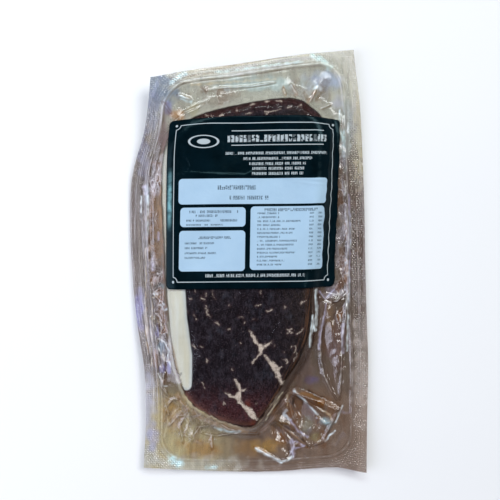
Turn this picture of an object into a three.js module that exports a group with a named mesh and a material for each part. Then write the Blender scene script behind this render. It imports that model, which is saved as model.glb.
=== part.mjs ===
// A striploin steak sealed in a clear vacuum pack, lying on its back with its label up.
// Millimetres. +X is the pack's right side, +Y its top end and +Z up. The origin is the middle of
// the pack's outline, on the surface that it lies on.
//
// The pack is one solid: the flat sealed flange, the film that has collapsed onto the film below
// it, and the raised shape of the steak that both are drawn round. The label is a thin sheet that
// follows the upper film.
import * as THREE from "three";

// Driving dimensions
const PACK_WIDTH = 142;
const PACK_LENGTH = 251;
const STEAK_THICKNESS = 13.4;
const FLANGE_HEIGHT = 4; // the flange's upper face, above the table
const FLANGE_THICKNESS = 0.6;
const LABEL_WIDTH = 106;
const LABEL_LENGTH = 101;
const LABEL_THICKNESS = 0.4;
const LABEL_GAP = 0.7;

const HALF_WIDTH = PACK_WIDTH / 2;
const HALF_LENGTH = PACK_LENGTH / 2;

// How far the vacuum has drawn each edge of the film in from a true rectangle, at even steps:
// the left and right edges from the bottom end up, the bottom and top edges from the left.
const PULL_LEFT = [8.6, 9.9, 9.2, 4.5, 1.6, 0, 1.4, 9.7, 13.4];
const PULL_RIGHT = [1.5, 0.8, 0, 0.8, 1.5, 2.1, 3.3, 5.2, 8.9];
const PULL_BOTTOM = [3.1, 2, 1, 0.3, 0, 0.7, 2.4, 3.5, 0.8];
const PULL_TOP = [17.5, 14.4, 11.2, 8.9, 6.3, 4, 2.1, 1.1, 0];

// Where the flange curls up or sags: the middle, the lift and the radius of each swell
const CURLS = [
  { x: -60, y: 110, lift: 9, radius: 27 },
  { x: 64, y: 126, lift: 2.4, radius: 24 },
  { x: 71, y: -127, lift: 4, radius: 22 },
  { x: -64, y: -125, lift: 1.6, radius: 18 },
  { x: -64, y: -72, lift: 3, radius: 20 },
  { x: -73, y: 25, lift: -1.9, radius: 26 },
  { x: 0, y: -128, lift: -1.5, radius: 24 },
  { x: 72, y: 5, lift: -1.4, radius: 30 },
  { x: 8, y: 122, lift: -0.9, radius: 22 },
];

// The formed rim: a low ridge along a rounded rectangle inside the film's edge
const RIM_INSET_SIDE = 10.5;
const RIM_INSET_END = 7;
const RIM_RADIUS = 15;
const RIM_RIDGE = 0.7;

// The steak's outline where it is widest in plan, from its bottom tip clockwise
const STEAK_OUTLINE = [
  [-1, -99.6],
  [-19, -95],
  [-36, -85],
  [-44.6, -66],
  [-49, -36],
  [-50.8, 7],
  [-52.4, 42],
  [-50.4, 67],
  [-40, 81.5],
  [-18, 90.8],
  [22, 97.4],
  [38, 91.4],
  [47.4, 78],
  [47.6, 56],
  [42.8, 22],
  [38.8, -16],
  [36.4, -42],
  [27, -65],
  [9.5, -93],
];
const CHORDS_PER_POINT = 9;
const SHOULDER = 8; // how far inside its outline the steak's top begins to fall
const SHOULDER_POWER = 1.12;
const SKIRT = 9; // how far outside its outline the two films meet
const BASE_INSET = 3.5; // how far inside its outline the steak lies flat on the table
const SWELLS = [
  { height: 0.55, wavesX: 1 / 61, wavesY: 1 / 97, phase: 0.6 },
  { height: 0.4, wavesX: -1 / 83, wavesY: 1 / 58, phase: 2.1 },
  { height: 0.25, wavesX: 1 / 33, wavesY: -1 / 41, phase: 4.4 },
];

// The groove between the strip of fat on the left and the lean: x at even steps of y
const FAT_EDGE_X = [-37.6, -33.6, -35.6, -37.2, -38.4, -39, -39.6, -42];
const FAT_EDGE_BOTTOM = -79;
const FAT_EDGE_TOP = 82;
const FAT_GROOVE_DEPTH = 0.7;
const FAT_GROOVE_WIDTH = 2.6;

// The folds that stand up in the film beside the steak
const FOLDS = [
  { from: [46, -25], to: [57, -72], height: 2.6, width: 5.5 },
  { from: [42, -21.5], to: [57, -23], height: 2.2, width: 3.6 },
  { from: [28, -78], to: [52, -88], height: 3.4, width: 4.2 },
  { from: [22, -84], to: [36, -112], height: 3.8, width: 4.6 },
  { from: [10, -99], to: [24, -120], height: 3.2, width: 5 },
  { from: [14, -94], to: [40, -101], height: 3, width: 4.4 },
  { from: [-30, -92], to: [-36, -112], height: 2.4, width: 4.4 },
  { from: [-18, -99], to: [-17, -116], height: 2, width: 4.2 },
  { from: [-56, -36], to: [-53, -74], height: 1.8, width: 4 },
  { from: [-57, 62], to: [-59, 14], height: 1.6, width: 4 },
  { from: [22, 101], to: [20, 110], height: 1.8, width: 4.2 },
  { from: [36, 97], to: [45, 109], height: 2.4, width: 4.2 },
  { from: [-42, 86], to: [-50, 99], height: 2.2, width: 4.6 },
  { from: [54, 84], to: [57, 40], height: 2, width: 4.4 },
];
const FOLD_TAPER = 0.55; // the share of a fold's height that is lost along it
const FOLD_START = 1; // how far from the steak folds begin to rise, and where they are full
const FOLD_FULL = 5;

// Where the label's middle lies, and its shape
const LABEL_X = 3.6;
const LABEL_Y = 34.8;
const LABEL_TURN = 0.5; // degrees
const LABEL_LEAN = 0.024; // how far its sides lean to the right, of their length
const LABEL_PULL = 0.2; // how far its edge is drawn in where it falls over the steak's shoulder
const LABEL_RADIUS = 3;
const LABEL_CELLS = 20;

// Stations of the pack's loops: shares of the way from the steak to its spine, insets from the
// steak's outline, and shares of the way on to the rim and from the rim to the edge
const POINTS_PER_END = 22;
const POINTS_PER_SIDE = 42;
const SPINE_X = -2;
const SPINE_HALF_LENGTH = 62;
const INNER_SHARES = [0.93, 0.72, 0.45];
const TOP_INSETS = [15, 10.5, 8, 6, 4, 2, 0];
const SKIRT_SHARES = [0.14, 0.28, 0.42, 0.56, 0.7, 0.84, 0.95];
const FLANGE_SHARES = [0.25, 1];

const { lerp, clamp, smoothstep, degToRad } = THREE.MathUtils;
const between = ([ax, ay], [bx, by], share) => [lerp(ax, bx, share), lerp(ay, by, share)];
const distance = ([ax, ay], [bx, by]) => Math.hypot(bx - ax, by - ay);

// A smooth line through values at even steps of a share from 0 to 1
function through(values, share) {
  const at = clamp(share, 0, 1) * (values.length - 1);
  const i = Math.min(Math.floor(at), values.length - 2);
  const [a, b, f] = [values[i], values[i + 1], at - i];
  const slopeA = (b - values[Math.max(i - 1, 0)]) / 2;
  const slopeB = (values[Math.min(i + 2, values.length - 1)] - a) / 2;
  const curve = f * (3 * (b - a) - 2 * slopeA - slopeB) + f * f * (2 * (a - b) + slopeA + slopeB);
  return a + f * (slopeA + curve);
}

// Where the drawn-in film has a point of the film's true rectangle
function drawnIn(x, y) {
  const s = (x + HALF_WIDTH) / PACK_WIDTH;
  const t = (y + HALF_LENGTH) / PACK_LENGTH;
  const fromSides = through(PULL_LEFT, t) * (1 - s) - through(PULL_RIGHT, t) * s;
  const fromEnds = through(PULL_BOTTOM, s) * (1 - t) - through(PULL_TOP, s) * t;
  return [x + fromSides, y + fromEnds];
}

// The steak's outline as short chords of a smooth closed curve
function steakOutline() {
  const points = STEAK_OUTLINE.map(([x, y]) => new THREE.Vector3(x, y, 0));
  const curve = new THREE.CatmullRomCurve3(points, true, "catmullrom", 0.5);
  return curve.getPoints(points.length * CHORDS_PER_POINT).slice(0, -1).map(({ x, y }) => [x, y]);
}

const OUTLINE = steakOutline();
const CHORDS = OUTLINE.map((start, i) => [start, OUTLINE[(i + 1) % OUTLINE.length]]);

// How far a point is from the way between two others, and the share of the way nearest to it
function fromWay([x, y], [ax, ay], [bx, by]) {
  const [ex, ey] = [bx - ax, by - ay];
  const along = clamp(((x - ax) * ex + (y - ay) * ey) / (ex * ex + ey * ey), 0, 1);
  return { away: Math.hypot(x - ax - along * ex, y - ay - along * ey), along };
}

// How far a point is outside the steak's outline; below 0 inside it
function outside(point) {
  const [x, y] = point;
  const crosses = ([[ax, ay], [bx, by]]) => ay > y !== by > y && x < lerp(ax, bx, (y - ay) / (by - ay));
  const isInside = CHORDS.filter(crosses).length % 2 === 1;
  const nearest = Math.min(...CHORDS.map(([a, b]) => fromWay(point, a, b).away));
  return isInside ? -nearest : nearest;
}

// The flange's upper face, with its curls
function flangeTop(x, y) {
  const lifts = CURLS.map((c) => c.lift * Math.exp(-((x - c.x) ** 2 + (y - c.y) ** 2) / (2 * c.radius ** 2)));
  return lifts.reduce((sum, lift) => sum + lift, FLANGE_HEIGHT);
}

// The top of the steak: long swells, and the groove between fat and lean
function steakTop(x, y) {
  const waves = SWELLS.map((w) => w.height * Math.sin(2 * Math.PI * (x * w.wavesX + y * w.wavesY) + w.phase));
  const share = (y - FAT_EDGE_BOTTOM) / (FAT_EDGE_TOP - FAT_EDGE_BOTTOM);
  const fromGroove = (x - through(FAT_EDGE_X, share)) / FAT_GROOVE_WIDTH;
  const groove = FAT_GROOVE_DEPTH * Math.exp(-fromGroove * fromGroove);
  return waves.reduce((sum, wave) => sum + wave, STEAK_THICKNESS) - groove;
}

// How high the folds stand at a point that is d outside the steak
function foldHeight(point, d) {
  const heights = FOLDS.map(({ from, to, height, width }) => {
    const { away, along } = fromWay(point, from, to);
    return height * (1 - FOLD_TAPER * along) * Math.max(0, 1 - away / width);
  });
  return Math.max(...heights) * smoothstep(d, FOLD_START, FOLD_FULL);
}

// The pack's upper face: the steak's top, falling over its shoulder to the flange
function upper(point, ridge = 0) {
  const [x, y] = point;
  const d = outside(point);
  const flange = flangeTop(x, y) + foldHeight(point, d) + ridge;
  const fallen = clamp((d + SHOULDER) / (SHOULDER + SKIRT), 0, 1) ** SHOULDER_POWER;
  return [x, y, lerp(steakTop(x, y), flange, (1 - Math.cos(Math.PI * fallen)) / 2)];
}

// The pack's lower face: flat under the steak, rising to the flange's lower face
function lower(point, ridge = 0) {
  const [x, y] = point;
  const d = outside(point);
  const flange = flangeTop(x, y) + foldHeight(point, d) + ridge - FLANGE_THICKNESS;
  return [x, y, flange * smoothstep(d, -BASE_INSET, SKIRT)];
}

// Where the way from one point to another crosses the steak's outline
function crossing(from, to) {
  const [dx, dy] = [to[0] - from[0], to[1] - from[1]];
  const shares = CHORDS.map(([[ax, ay], [bx, by]]) => {
    const [ex, ey] = [bx - ax, by - ay];
    const turn = dx * ey - dy * ex;
    const onChord = ((ax - from[0]) * dy - (ay - from[1]) * dx) / turn;
    const onWay = ((ax - from[0]) * ey - (ay - from[1]) * ex) / turn;
    return onChord >= 0 && onChord <= 1 ? onWay : 0;
  });
  return between(from, to, Math.max(...shares));
}

// Points round the film's edge, each with the rim, the steak's outline and its spine inside it
function stations() {
  const steps = (count, from, to) => Array.from({ length: count }, (_, i) => lerp(from, to, i / count));
  const edge = [
    ...steps(POINTS_PER_END, -HALF_WIDTH, HALF_WIDTH).map((x) => [x, -HALF_LENGTH]),
    ...steps(POINTS_PER_SIDE, -HALF_LENGTH, HALF_LENGTH).map((y) => [HALF_WIDTH, y]),
    ...steps(POINTS_PER_END, HALF_WIDTH, -HALF_WIDTH).map((x) => [x, HALF_LENGTH]),
    ...steps(POINTS_PER_SIDE, HALF_LENGTH, -HALF_LENGTH).map((y) => [-HALF_WIDTH, y]),
  ];
  const coreX = HALF_WIDTH - RIM_INSET_SIDE - RIM_RADIUS;
  const coreY = HALF_LENGTH - RIM_INSET_END - RIM_RADIUS;
  return edge.map(([x, y]) => {
    const [cx, cy] = [clamp(x, -coreX, coreX), clamp(y, -coreY, coreY)];
    const share = RIM_RADIUS / Math.hypot(x - cx, y - cy);
    const rim = drawnIn(lerp(cx, x, share), lerp(cy, y, share));
    const spine = [SPINE_X, clamp(rim[1], -SPINE_HALF_LENGTH, SPINE_HALF_LENGTH)];
    return { edge: drawnIn(x, y), rim, spine, steak: crossing(spine, rim) };
  });
}

function indexed(points, faces) {
  return new THREE.BufferGeometry()
    .setAttribute("position", new THREE.Float32BufferAttribute(points.flat(), 3))
    .setIndex(faces.flat());
}

// A closed body from loops with as many points each, capped at the first and the last
function loopedBody(loops) {
  const around = loops[0].length;
  const faces = [];
  for (let k = 0; k + 1 < loops.length; k++) {
    for (let i = 0; i < around; i++) {
      const [a, b] = [k * around + i, k * around + ((i + 1) % around)];
      faces.push([a, a + around, b], [b, a + around, b + around]);
    }
  }
  const cap = (loop) => THREE.ShapeUtils.triangulateShape(loop.map(([x, y]) => new THREE.Vector2(x, y)), []);
  const last = (loops.length - 1) * around;
  cap(loops[0]).forEach(([a, b, c]) => faces.push([a, b, c]));
  cap(loops.at(-1)).forEach(([a, b, c]) => faces.push([last + a, last + c, last + b]));
  return indexed(loops.flat(), faces);
}

function packGeometry() {
  const around = stations();
  const inwards = (s, by) => between(s.steak, s.spine, by / distance(s.steak, s.spine));
  const skirt = (share, face) => around.map((s) => face(between(s.steak, s.rim, share)));
  const flange = (share, face) => around.map((s) => face(between(s.rim, s.edge, share)));
  return loopedBody([
    ...INNER_SHARES.map((share) => around.map((s) => upper(between(s.steak, s.spine, share)))),
    ...TOP_INSETS.map((by) => around.map((s) => upper(inwards(s, by)))),
    ...SKIRT_SHARES.map((share) => skirt(share, upper)),
    around.map((s) => upper(s.rim, RIM_RIDGE)),
    ...FLANGE_SHARES.map((share) => flange(share, upper)),
    ...FLANGE_SHARES.toReversed().map((share) => flange(share, lower)),
    around.map((s) => lower(s.rim, RIM_RIDGE)),
    ...SKIRT_SHARES.slice(1).toReversed().map((share) => skirt(share, lower)),
    around.map((s) => lower(s.steak)),
    around.map((s) => lower(inwards(s, BASE_INSET + 0.5))),
  ]);
}

// A point of the label's rectangular grid, brought inside its rounded corners
function inRoundedCorners(x, y) {
  const dx = Math.max(Math.abs(x) - LABEL_WIDTH / 2 + LABEL_RADIUS, 0);
  const dy = Math.max(Math.abs(y) - LABEL_LENGTH / 2 + LABEL_RADIUS, 0);
  const share = Math.max(dx, dy) / (Math.hypot(dx, dy) || 1);
  return [x - Math.sign(x) * dx * (1 - share), y - Math.sign(y) * dy * (1 - share)];
}

// The lines of the label's grid along one side, with one in the middle of each rounded corner
function labelLines(side) {
  const half = side / 2;
  const core = half - LABEL_RADIUS;
  const even = Array.from({ length: LABEL_CELLS + 1 }, (_, i) => lerp(-core, core, i / LABEL_CELLS));
  return [-half, -half + LABEL_RADIUS / 2, ...even, half - LABEL_RADIUS / 2, half];
}

// Where the label has a point of its grid, once it is laid on the film and drawn down over the steak
function laid(x, y) {
  const turn = degToRad(LABEL_TURN);
  const leant = x + y * LABEL_LEAN;
  const flat = [
    LABEL_X + leant * Math.cos(turn) - y * Math.sin(turn),
    LABEL_Y + leant * Math.sin(turn) + y * Math.cos(turn),
  ];
  const d = outside(flat);
  const away = [outside([flat[0] + 1, flat[1]]) - d, outside([flat[0], flat[1] + 1]) - d];
  const pull = LABEL_PULL * Math.max(d + SHOULDER, 0);
  return [flat[0] - pull * away[0], flat[1] - pull * away[1]];
}

// The label: both faces of a grid draped on the upper film, and the thin edge between them
function labelGeometry() {
  const columns = labelLines(LABEL_WIDTH);
  const rows = labelLines(LABEL_LENGTH);
  const draped = rows.flatMap((y) => columns.map((x) => upper(laid(...inRoundedCorners(x, y)))));
  const raised = (by) => draped.map(([x, y, z]) => [x, y, z + by]);
  const count = columns.length;
  const faces = [];
  const quad = (a, b, c, d) => faces.push([a, b, c], [a, c, d]);
  for (let j = 0; j + 1 < count; j++) {
    for (let i = 0; i + 1 < count; i++) {
      const a = j * count + i;
      const under = count * count + a;
      quad(a, a + 1, a + count + 1, a + count);
      quad(under, under + count, under + count + 1, under + 1);
    }
  }
  for (let i = 0; i + 1 < count; i++) {
    const edges = [
      [i, i + 1],
      [(i + 1) * count - 1, (i + 2) * count - 1],
      [count * count - 1 - i, count * count - 2 - i],
      [(count - 1 - i) * count, (count - 2 - i) * count],
    ];
    edges.forEach(([a, b]) => quad(a, a + count * count, b + count * count, b));
  }
  return indexed([...raised(LABEL_GAP + LABEL_THICKNESS), ...raised(LABEL_GAP)], faces);
}

function named(name, geometry, color, roughness) {
  const mesh = new THREE.Mesh(geometry, new THREE.MeshStandardMaterial({ color, roughness, metalness: 0 }));
  mesh.name = name;
  return mesh;
}

const group = new THREE.Group();
group.add(named("vacuum_pack", packGeometry(), 0x5a3a34, 0.2));
group.add(named("label", labelGeometry(), 0x10282e, 0.4));
export default group;
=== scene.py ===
"""A raw striploin steak in a clear vacuum pack with a printed label, lying flat with the label up.

Shapes are worked out in millimetres in the part's own frame and written to meshes in metres.
"""

import functools
import math

import bpy
import numpy as np
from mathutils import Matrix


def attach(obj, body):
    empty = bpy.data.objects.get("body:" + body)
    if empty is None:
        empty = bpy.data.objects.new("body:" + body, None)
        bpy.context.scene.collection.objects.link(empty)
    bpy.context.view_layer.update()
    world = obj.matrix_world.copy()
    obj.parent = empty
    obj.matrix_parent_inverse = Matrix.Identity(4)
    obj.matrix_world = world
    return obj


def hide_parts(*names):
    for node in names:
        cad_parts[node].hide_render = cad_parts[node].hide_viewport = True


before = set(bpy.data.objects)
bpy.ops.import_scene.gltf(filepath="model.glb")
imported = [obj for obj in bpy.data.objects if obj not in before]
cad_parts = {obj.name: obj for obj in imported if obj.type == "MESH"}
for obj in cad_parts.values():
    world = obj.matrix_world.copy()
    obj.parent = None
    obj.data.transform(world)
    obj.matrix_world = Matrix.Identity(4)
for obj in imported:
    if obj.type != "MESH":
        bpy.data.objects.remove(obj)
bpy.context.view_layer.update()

MM = 0.001

# The film, as in the solids
PACK_WIDTH = 142.0
PACK_LENGTH = 251.0
HALF_WIDTH = PACK_WIDTH / 2
HALF_LENGTH = PACK_LENGTH / 2
STEAK_THICKNESS = 13.4
FLANGE_HEIGHT = 4.0
FLANGE_THICKNESS = 0.6
PULL_LEFT = (8.6, 9.9, 9.2, 4.5, 1.6, 0, 1.4, 9.7, 13.4)
PULL_RIGHT = (1.5, 0.8, 0, 0.8, 1.5, 2.1, 3.3, 5.2, 8.9)
PULL_BOTTOM = (3.1, 2, 1, 0.3, 0, 0.7, 2.4, 3.5, 0.8)
PULL_TOP = (17.5, 14.4, 11.2, 8.9, 6.3, 4, 2.1, 1.1, 0)
RIM_INSET_SIDE = 10.5
RIM_INSET_END = 7.0
RIM_RADIUS = 15.0
SHOULDER = 8.0
SHOULDER_POWER = 1.12
SKIRT = 9.0
BASE_INSET = 3.5

# The lower film's height where the pack rests, and the least gap between the films
RESTING_HEIGHT = 0.02
FILMS_APART = 0.25

# Where the flange curls up or sags: the middle, the lift and the radius of each swell
CURLS = (
    (-60, 110, 9, 27),
    (64, 126, 2.4, 24),
    (71, -127, 4, 22),
    (-64, -125, 1.6, 18),
    (-64, -72, 3, 20),
    (-73, 25, -1.9, 26),
    (0, -128, -1.5, 24),
    (72, 5, -1.4, 30),
    (8, 122, -0.9, 22),
)

# The steak's outline where it is widest, from its bottom tip clockwise
STEAK_OUTLINE = (
    (-1, -99.6),
    (-19, -95),
    (-36, -85),
    (-44.6, -66),
    (-49, -36),
    (-50.8, 7),
    (-52.4, 42),
    (-50.4, 67),
    (-40, 81.5),
    (-18, 90.8),
    (22, 97.4),
    (38, 91.4),
    (47.4, 78),
    (47.6, 56),
    (42.8, 22),
    (38.8, -16),
    (36.4, -42),
    (27, -65),
    (9.5, -93),
)
CHORDS_PER_POINT = 9
CHORDS_PER_RAGGED = 4

# Long swells of the steak's top: height, waves for each millimetre of x and of y, and phase
SWELLS = ((0.55, 1 / 61, 1 / 97, 0.6), (0.4, -1 / 83, 1 / 58, 2.1), (0.25, 1 / 33, -1 / 41, 4.4))

# The groove between the strip of fat on the left and the lean: x at even steps of y
FAT_EDGE_X = (-37.6, -33.6, -35.6, -37.2, -38.4, -39, -39.6, -42)
FAT_EDGE_BOTTOM = -79.0
FAT_EDGE_TOP = 82.0
FAT_GROOVE_DEPTH = 0.45
FAT_GROOVE_WIDTH = 2.6

# The folds that stand up in the film beside the steak: from, to, height and half width
STAR_UPPER_ARM = ((28, -78), (52, -88))
FOLDS = (
    ((46, -25), (57, -72), 2.6, 5.5),
    ((42, -21.5), (57, -23), 2.2, 3.6),
    (*STAR_UPPER_ARM, 3.4, 3.2),
    ((22, -84), (36, -112), 3.8, 4.6),
    ((10, -99), (24, -120), 3.2, 5),
    ((14, -94), (40, -101), 3, 4.4),
    ((-30, -92), (-36, -112), 2.4, 4.4),
    ((-18, -99), (-17, -116), 2, 4.2),
    ((-56, -36), (-53, -74), 1.8, 4),
    ((-58.6, 62), (-60.2, 14), 1.3, 3),
    ((22, 101), (20, 110), 1.3, 4.2),
    ((36, 97), (45, 109), 2.4, 4.2),
    ((-42, 86), (-50, 99), 0.9, 4.6),
    ((54, 84), (57, 40), 2, 4.4),
)
FOLD_TAPER = 0.55
FOLD_START = 1.0
FOLD_FULL = 5.0

# Finer creases in the film: height, half width, and the line that each follows
CREASES = (
    (1.0, 1.3, ((39, -15), (39.4, -28), (38.6, -41))),
    (0.9, 1.6, ((38.7, -32), (37.6, -41), (36.9, -50))),
    (0.7, 1.4, ((41, -46), (41.3, -58))),
    (1.5, 1.9, ((45.8, -25), (43.8, -35), (42.5, -46), (42.8, -58), (44.5, -67), (48, -75), (52, -82))),
    (1.3, 1.7, ((58, -16), (57.5, -34), (55.3, -47), (54.8, -64), (54, -82))),
    (1.5, 1.7, ((42, -17), (44, -21.5), (47.5, -24), (52.4, -23.4), (58.9, -18))),
    (0.8, 1.3, ((58, 31), (59.4, 14), (58.6, -2))),
    (0.8, 1.5, ((55, 90), (56.4, 75))),
    (1.6, 1.9, ((22.7, -77), (30, -80), (38, -85.5), (46, -91))),
    (1.7, 1.9, ((22.7, -77), (26, -92), (32.2, -103), (35.7, -110))),
    (1.5, 1.8, ((14.6, -94), (24, -101), (35.7, -110))),
    (1.5, 1.7, ((3, -110.6), (12, -115.5), (21, -119))),
    (1.3, 1.5, ((21, -119), (25.5, -113), (27.6, -108.6), (34.4, -110))),
    (1.2, 1.7, ((26.8, -117), (24, -106), (18, -97))),
    (1.2, 1.7, ((54.5, -86), (48, -98), (44, -106.6), (36, -110))),
    (1.0, 1.6, ((40, -92), (45.2, -96.3), (50, -95))),
    (0.8, 1.5, ((23, -75), (16, -84), (9, -92.4))),
    (1.0, 1.3, ((-22.5, -103), (-21.8, -112))),
    (0.9, 1.2, ((-30, -101.5), (-20, -103.7), (-5.3, -101.2), (8.4, -102))),
    (0.9, 1.1, ((-17, -95.2), (-12, -98.6), (-7, -99.6))),
    (1.0, 1.3, ((-36, -88), (-41, -97), (-39, -108))),
    (0.8, 1.2, ((-31, -91), (-42, -91.5), (-48, -98))),
    (0.9, 1.3, ((-33.5, -104), (-29, -98), (-24, -97))),
    (0.8, 1.2, ((-55, 60), (-53, 55), (-56, 50), (-53.6, 45), (-56.4, 40))),
    (0.8, 1.3, ((-54, 30), (-56, 25), (-53.5, 20))),
    (0.9, 1.3, ((-52, -15), (-57, -19), (-52.5, -23), (-56, -29))),
    (1.0, 1.5, ((-55.8, -40), (-53, -52), (-49, -61))),
    (1.2, 1.6, ((-55, -58), (-50, -66), (-51.5, -74), (-47, -80))),
    (1.0, 1.5, ((20.3, 103), (21.6, 98.5))),
    (1.1, 1.5, ((24.6, 106), (28.4, 98.5))),
    (1.6, 1.9, ((35.7, 94.3), (39.6, 101.4))),
    (1.2, 1.6, ((41.7, 90.1), (48.8, 93.7))),
    (0.5, 2.4, ((-46, 108), (-38, 105))),
    (1.0, 2.0, ((-42, 98), (-34, 95.4))),
    (0.5, 2.0, ((-51, 94), (-45.5, 87))),
    (0.5, 1.3, ((25, -76.5), (19.4, -85.6), (12.6, -94.6), (5, -101))),
    (0.7, 1.3, ((-44, -80), (-49, -86), (-47, -93))),
    (0.6, 1.2, ((-40, -90), (-36, -96), (-38, -103), (-33, -107))),
    (0.6, 1.1, ((-52, -78), (-46, -82), (-41, -81))),
    (0.6, 1.2, ((-59, -30), (-58, -46), (-59, -60))),
    (0.5, 1.1, ((51, -30), (50, -44), (51, -60), (54, -70))),
    (0.5, 1.2, ((-28, 100.5), (-16, 103), (2, 104.4), (16, 106.6))),
    (0.5, 1.2, ((-46, 80), (-38, 88), (-26, 93.5))),
)

# The corner where the ridges of the rim are weaker, and the star of folds: middle and radius
DULL_CORNER = (-62, 108, 24, 24)
STAR = (34, -96, 24, 20)

# Where the film is crumpled: middle, radius along x and y, share, and how much of it is fine
CRUMPLED = (
    (-35, -91, 18, 16, 0.28, 0.6),
    (36, -96, 23, 17, 0.3, 0),
    (55, 24, 7, 52, 0.7, 0.5),
    (-56, 48, 4, 9, 0.6, 1),
    (-56, -10, 5, 16, 0.7, 0.6),
    (-54, -48, 6, 27, 0.8, 0.2),
    (-20, 98, 15, 6, 0.5, 0.3),
    (36, 101, 15, 9, 0.4, 0),
    (50, -20, 8, 8, 0.12, 0),
)
SMOOTH_SHARE = 0.08

# Slight creases in the film over the steak: height, half width, and the line that each follows
STEAK_CREASES = (
    (0.3, 0.8, ((22, -30), (16, -39), (10.4, -47.6))),
    (0.3, 0.9, ((-4.4, -15), (-5, -24))),
    (0.28, 0.9, ((15.4, -37), (18.6, -42), (17, -45))),
    (0.25, 1.0, ((-29, -55), (-22, -59.5))),
    (0.25, 0.8, ((29, -18), (31.4, -24))),
    (0.25, 0.8, ((2.4, -56), (-4, -62))),
)

# Ridges parallel to the rim: how far outside it, height and half width
RIM_RIDGES = ((0, 1.0, 0.9), (2.1, 0.5, 0.7), (-2.4, 0.5, 0.8), (5.6, 0.45, 0.6))

# The label: its size, middle, turn, lean to the right, how much it is drawn in where it comes down,
# corner radius, height over the film, thickness, and how much of the groove it bridges
LABEL_WIDTH = 106.0
LABEL_LENGTH = 101.0
LABEL_X = 3.6
LABEL_Y = 34.8
LABEL_TURN = math.radians(0.5)
LABEL_LEAN = 0.024
LABEL_PULL = 0.2
LABEL_RADIUS = 3.0
LABEL_RAISED = 0.75
LABEL_PAPER = 0.18
LABEL_BRIDGES = 0.9

# The strip of fat: the x of its left and right sides at heights y
FAT_LEFT = ((-77, -37.6), (-73, -39.2), (-65, -40.8), (-51.5, -43.5), (-46, -45.4), (-33, -46.8),
            (-15, -48.6), (7, -60))
FAT_RIGHT = ((-77, -35), (-73, -33.6), (-55, -33.3), (-46, -34.4), (-33, -36.2), (-15, -37.4),
             (30, -38.6), (82, -42))
FAT_TIP = -75.5
FAT_CORNER = 2.6

# Browned spots on the lean: middle and radius
BROWNED = ((-0.8, -83.4, 3**0.5, 7**0.5), (2.6, -95.6, 5**0.5, 5**0.5))

# Marbling: lines of x, y and width
SEAMS = (
    ((0.7, -40.4, 0.8), (2, -43.1, 1.6), (3.4, -45.4, 1.5), (5.1, -48.2, 1.3), (7.6, -50.3, 2.8),
     (7.1, -53, 1.6)),
    ((7.6, -50.3, 2.4), (10, -48.8, 1.2), (13.3, -47, 0.7)),
    ((7.1, -53, 0.9), (4, -56.5, 0.5), (2, -59.2, 0.4)),
    ((9.1, -54.3, 0.6), (11.4, -57.5, 1.6), (13.8, -60.3, 2.8), (15.8, -62.6, 3.4), (17.3, -65.5, 1.6)),
    ((17.3, -65.5, 1.6), (18.5, -69.3, 1.8), (19.9, -72.3, 0.8)),
    ((15.8, -62.6, 2), (18.9, -61.6, 0.6)),
    ((18, -67, 1.2), (16.1, -67.6, 0.5)),
    ((19.2, -71, 1.2), (22, -70.2, 0.6)),
    ((-8.3, -68.8, 0.6), (-6.7, -70.6, 1.2), (-5.5, -73, 1.5), (-5.3, -75.6, 1.5), (-6.4, -78.7, 3.2)),
    ((-6.4, -78.7, 3.2), (-5.5, -81.3, 2), (-3.4, -83.7, 1.2), (-1.1, -86.3, 1.8), (0.8, -88, 3)),
    ((0.8, -88, 3), (2.5, -90.3, 2.6), (4.6, -92.4, 1.2)),
    ((-5.3, -75.4, 1.2), (-1.9, -74.6, 0.5)),
    ((-6.8, -78.8, 2.2), (-9, -79, 1), (-11.6, -77.5, 0.8), (-13.5, -76.2, 0.6)),
    ((-0.8, -86.4, 1.6), (1.5, -86.2, 0.9)),
    ((16.4, 94.4, 1.0), (19, 94.1, 0.6)),
    ((9.6, 94.2, 0.6), (12, 94.6, 0.4)),
    ((0.8, 92.2, 0.5), (3.4, 92.8, 0.3)),
    ((22.4, 90, 0.5), (24.6, 90.6, 0.3)),
    ((9.4, 87.4, 0.3), (13, 87.8, 0.4), (18.4, 89.2, 0.3)),
    ((-7.4, 88, 0.4), (-6.8, 89.3, 0.3)),
    ((29, 91.2, 0.5), (30.6, 91.7, 0.3)),
    ((-18, 85.2, 0.5), (-15.4, 86, 0.4)),
)
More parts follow.
